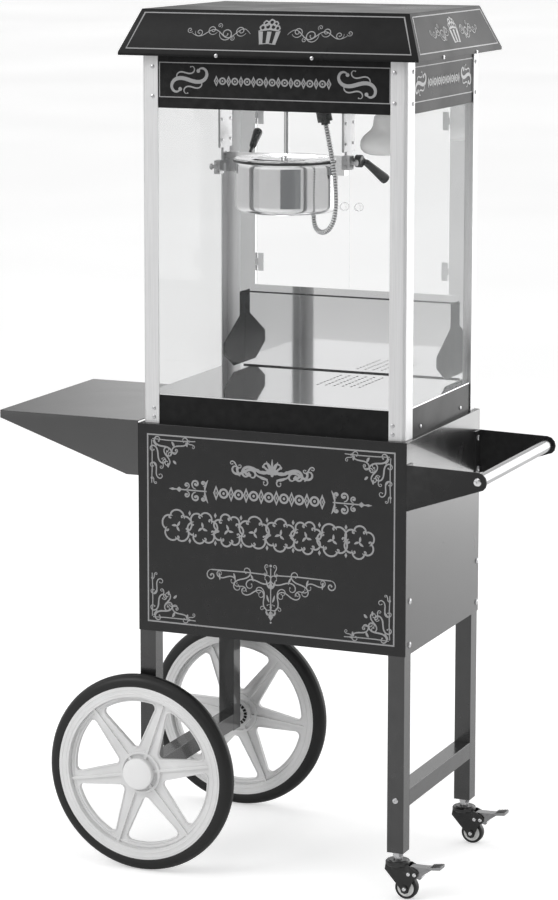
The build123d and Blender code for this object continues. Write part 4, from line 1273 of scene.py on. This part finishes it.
bulb = {"x": 385.0, "y": 200.0, "low": 1263.0, "socketLow": 1336}
profile = [(0, 0), (18, 0.3), (32, 1.6), (41, 5), (45.6, 10.5), (47, 18), (46, 25), (42, 32),
           (35, 38.5), (28.5, 44), (25, 51), (24, 60), (22.5, 67), (18, 71), (16, 73), (0, 73)]
piece = upright("bulb_shape", profile, bulb["x"], bulb["y"], bulb["low"], "bulbGlass", 72)
finishPiece(piece, "cart", "bulb_glass", "lamp_bulb")
profile = [(0, 0), (15, 0), (18, 1), (20, 4), (20, 24), (18.5, 26), (20, 28), (20, 30), (0, 30)]
piece = upright("lamp_socket_shape", profile, bulb["x"], bulb["y"], bulb["socketLow"],
                "lampCeramic", 48)
finishPiece(piece, "cart", "lamp_ceramic", "lamp_holder")

# armoured hose from the ceiling plug to the gland under the pot
hose = {
    "route": [(294.82, 140.0, 1317.61), (299.4, 140.0, 1296.09), (314.0, 135.0, 1232.0),
              (318.0, 133.0, 1168.0), (305.0, 141.0, 1138.0), (283.0, 153.0, 1126.0),
              (262.0, 166.0, 1136.0), (262.0, 166.0, 1158.0)],
    "radius": 4.75, "rib": 1.9, "pitch": 4.8, "stepsPerRib": 6, "sides": 20, "sharpness": 0.6,
}


def hoseLine():
    curve = bpy.data.curves.new("hose_line", "CURVE")
    curve.dimensions = "3D"
    curve.resolution_u = 24
    spline = curve.splines.new("NURBS")
    spline.points.add(len(hose["route"]) - 1)
    for point, place in zip(spline.points, hose["route"]):
        point.co = (*at(*place), 1)
    spline.order_u = 3
    spline.use_endpoint_u = True
    holder = addObject("hose_line", curve)
    points = [v.co.copy() for v in evaluatedMesh(holder).vertices]
    bpy.data.objects.remove(holder)
    return points


def buildHose():
    line = hoseLine()
    # even steps along the line, then a ribbed skin round it
    lengths = [0.0]
    for a, b in zip(line, line[1:]):
        lengths.append(lengths[-1] + (b - a).length)
    total = lengths[-1]
    ribSteps = hose["stepsPerRib"]
    count = int(total / (hose["pitch"] / 1000 / ribSteps))
    centres = []
    index = 0
    for i in range(count + 1):
        goal = total * i / count
        while index < len(lengths) - 2 and lengths[index + 1] < goal:
            index += 1
        span = lengths[index + 1] - lengths[index] or 1.0
        centres.append(line[index].lerp(line[index + 1], (goal - lengths[index]) / span))
    verts, depths = [], []
    sides = hose["sides"]
    normal = (centres[1] - centres[0]).orthogonal().normalized()
    for i, centre in enumerate(centres):
        ahead = centres[min(i + 1, count)] - centres[max(i - 1, 0)]
        ahead.normalize()
        normal = (normal - ahead * normal.dot(ahead)).normalized()
        other = ahead.cross(normal)
        crest = (0.5 - 0.5 * cos(2 * pi * i / ribSteps)) ** hose["sharpness"]
        reach = (hose["radius"] - hose["rib"] * (1 - crest)) / 1000
        for s in range(sides):
            angle = 2 * pi * s / sides
            verts.append(centre + (normal * cos(angle) + other * sin(angle)) * reach)
            depths.append(1 - crest)
    faces = gridFaces(count + 1, sides)
    faces.append(tuple(range(sides))[::-1])
    faces.append(tuple(count * sides + s for s in range(sides)))
    mesh = meshFrom("hose_armour_skin", verts, faces)
    # groove depth per ring, which the hose finish turns into painted shade in the grooves
    groove = mesh.attributes.new("groove", "FLOAT", "POINT")
    groove.data.foreach_set("value", depths)
    piece = newPiece("hose_armour_skin", mesh, "hoseArmour")
    mesh.shade_smooth()
    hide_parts("kettle_hose")
    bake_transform(piece)
    print("hose length", round(total, 4))


buildHose()
print("kettle, lamp and hose built")


# stage, light and camera

stage = {"floorTone": 0.9, "floorSize": 40.0, "floorLift": 0.42, "keyPower": 80.0,
         "sidePower": 40.0, "topPower": 30.0, "backdrop": 1.0, "boxes": 5.0,
         "skyMiddle": 0.28, "skyTop": 0.9, "skyTones": (0.95, 0.85, 0.8),
         "flagBearing": -58.0, "flagAway": 4.2, "flagWide": 3.5, "flagLow": 0.02,
         "flagHigh": 1.5}


def floorFinish():
    # pale paper, lifted for the eye alone so that it doesn't flood the cart with light
    mat = finish("floorPaper", (stage["floorTone"],) * 3, rough=(0.8, 0.9),
                 grain=(300.0, 0.02), blotch=0.4, gloss=0.2)
    tree = mat.node_tree
    shader = tree.nodes["Principled BSDF"]
    shader.inputs["Emission Color"].default_value = (1, 1, 1, 1)
    path = tree.nodes.new("ShaderNodeLightPath")
    lift = mathNode(tree, "MULTIPLY", path.outputs["Is Camera Ray"], stage["floorLift"])
    tree.links.new(lift, shader.inputs["Emission Strength"])
    return mat


half = stage["floorSize"]
floorMesh = meshFrom("studio_floor", [(-half, -half, 0), (half, -half, 0), (half, half, 0),
                                      (-half, half, 0)], [(0, 1, 2, 3)])
floorMesh.materials.append(floorFinish())
addObject("studio_floor", floorMesh)


def studioWorld():
    # the eye sees a plain pale backdrop; the cart sees soft boxes with dark gaps between
    world = bpy.data.worlds.new("studio")
    world.use_nodes = True
    tree = world.node_tree
    coord = addNode(tree, "ShaderNodeTexCoord")
    split = addNode(tree, "ShaderNodeSeparateXYZ", {0: coord.outputs["Generated"]}).outputs
    height = addNode(tree, "ShaderNodeValToRGB", {"Fac": split["Z"]})
    stops = height.color_ramp.elements
    stops[1].position = stage["skyTop"]
    stops.new(stage["skyMiddle"])
    for stop, tone in zip(stops, stage["skyTones"]):
        stop.color = (tone, tone, tone, 1)
    bearing = mathNode(tree, "ARCTAN2", split["Y"], split["X"])
    swing = mathNode(tree, "SINE", mathNode(tree, "MULTIPLY", bearing, stage["boxes"]))
    gaps = addNode(tree, "ShaderNodeMapRange", {"Value": swing},
                   {"From Min": -1.0, "From Max": -0.35, "To Min": 0.12, "To Max": 1.0},
                   interpolation_type="SMOOTHSTEP")
    ground = tree.nodes["Background"]
    tree.links.new(height.outputs["Color"], ground.inputs["Color"])
    tree.links.new(gaps.outputs["Result"], ground.inputs["Strength"])
    plain = addNode(tree, "ShaderNodeBackground", values={"Color": (stage["backdrop"],) * 3 + (1,)})
    path = addNode(tree, "ShaderNodeLightPath")
    mixer = addNode(tree, "ShaderNodeMixShader",
                    {"Fac": path.outputs["Is Camera Ray"], 1: ground.outputs["Background"],
                     2: plain.outputs["Background"]})
    tree.links.new(mixer.outputs["Shader"], tree.nodes["World Output"].inputs["Surface"])
    bpy.context.scene.world = world


studioWorld()


def darkFlag():
    # a grey card beside the camera: only polished metal sees it, as one broad dark band
    aim = radians(stage["flagBearing"])
    middle = Vector((cos(aim), sin(aim), 0)) * stage["flagAway"]
    along = Vector((-sin(aim), cos(aim), 0)) * stage["flagWide"] / 2
    low, high = stage["flagLow"], stage["flagHigh"]
    corners = [middle + along * side + Vector((0, 0, z))
               for side, z in ((-1, low), (1, low), (1, high), (-1, high))]
    card = newPiece("dark_flag", meshFrom("dark_flag", corners, [(0, 1, 2, 3)]), "motorGrey")
    card.visible_camera = False
    card.visible_diffuse = False
    card.visible_shadow = False


darkFlag()


def softLight(name, place, aim, size, power):
    light = bpy.data.lights.new(name, "AREA")
    light.shape = "RECTANGLE"
    light.size = light.size_y = size
    light.energy = power
    holder = addObject(name, light)
    holder.location = place
    holder.rotation_euler = (Vector(aim) - Vector(place)).to_track_quat("-Z", "Y").to_euler()
    holder.visible_camera = False


softLight("key_light", (-2.6, -3.4, 3.6), (0, 0, 0.9), 2.4, stage["keyPower"])
softLight("side_light", (1.75, 3.15, 1.3), (0.2, 0, 1.2), 2.6, stage["sidePower"])
softLight("top_light", (0.2, 0.3, 4.2), (0, 0, 0.9), 3.0, stage["topPower"])

lens = {"sensor_fit": "AUTO", "sensor_width": 36, "lens": 123.82, "shift_x": 0.0270,
        "shift_y": -0.1489, "clip_end": 60}
view = {"place": (2303.85, -4797.72, 1746.39), "down": 8.139, "round": 23.459}
camera = bpy.data.cameras.new("camera")
for label, value in lens.items():
    setattr(camera, label, value)
cameraHolder = addObject("camera", camera)
cameraHolder.location = at(*view["place"])
cameraHolder.rotation_euler = (radians(90 - view["down"]), 0, radians(view["round"]))
bpy.context.scene.camera = cameraHolder
bpy.context.scene.view_settings.view_transform = "Standard"

print("scene ready")
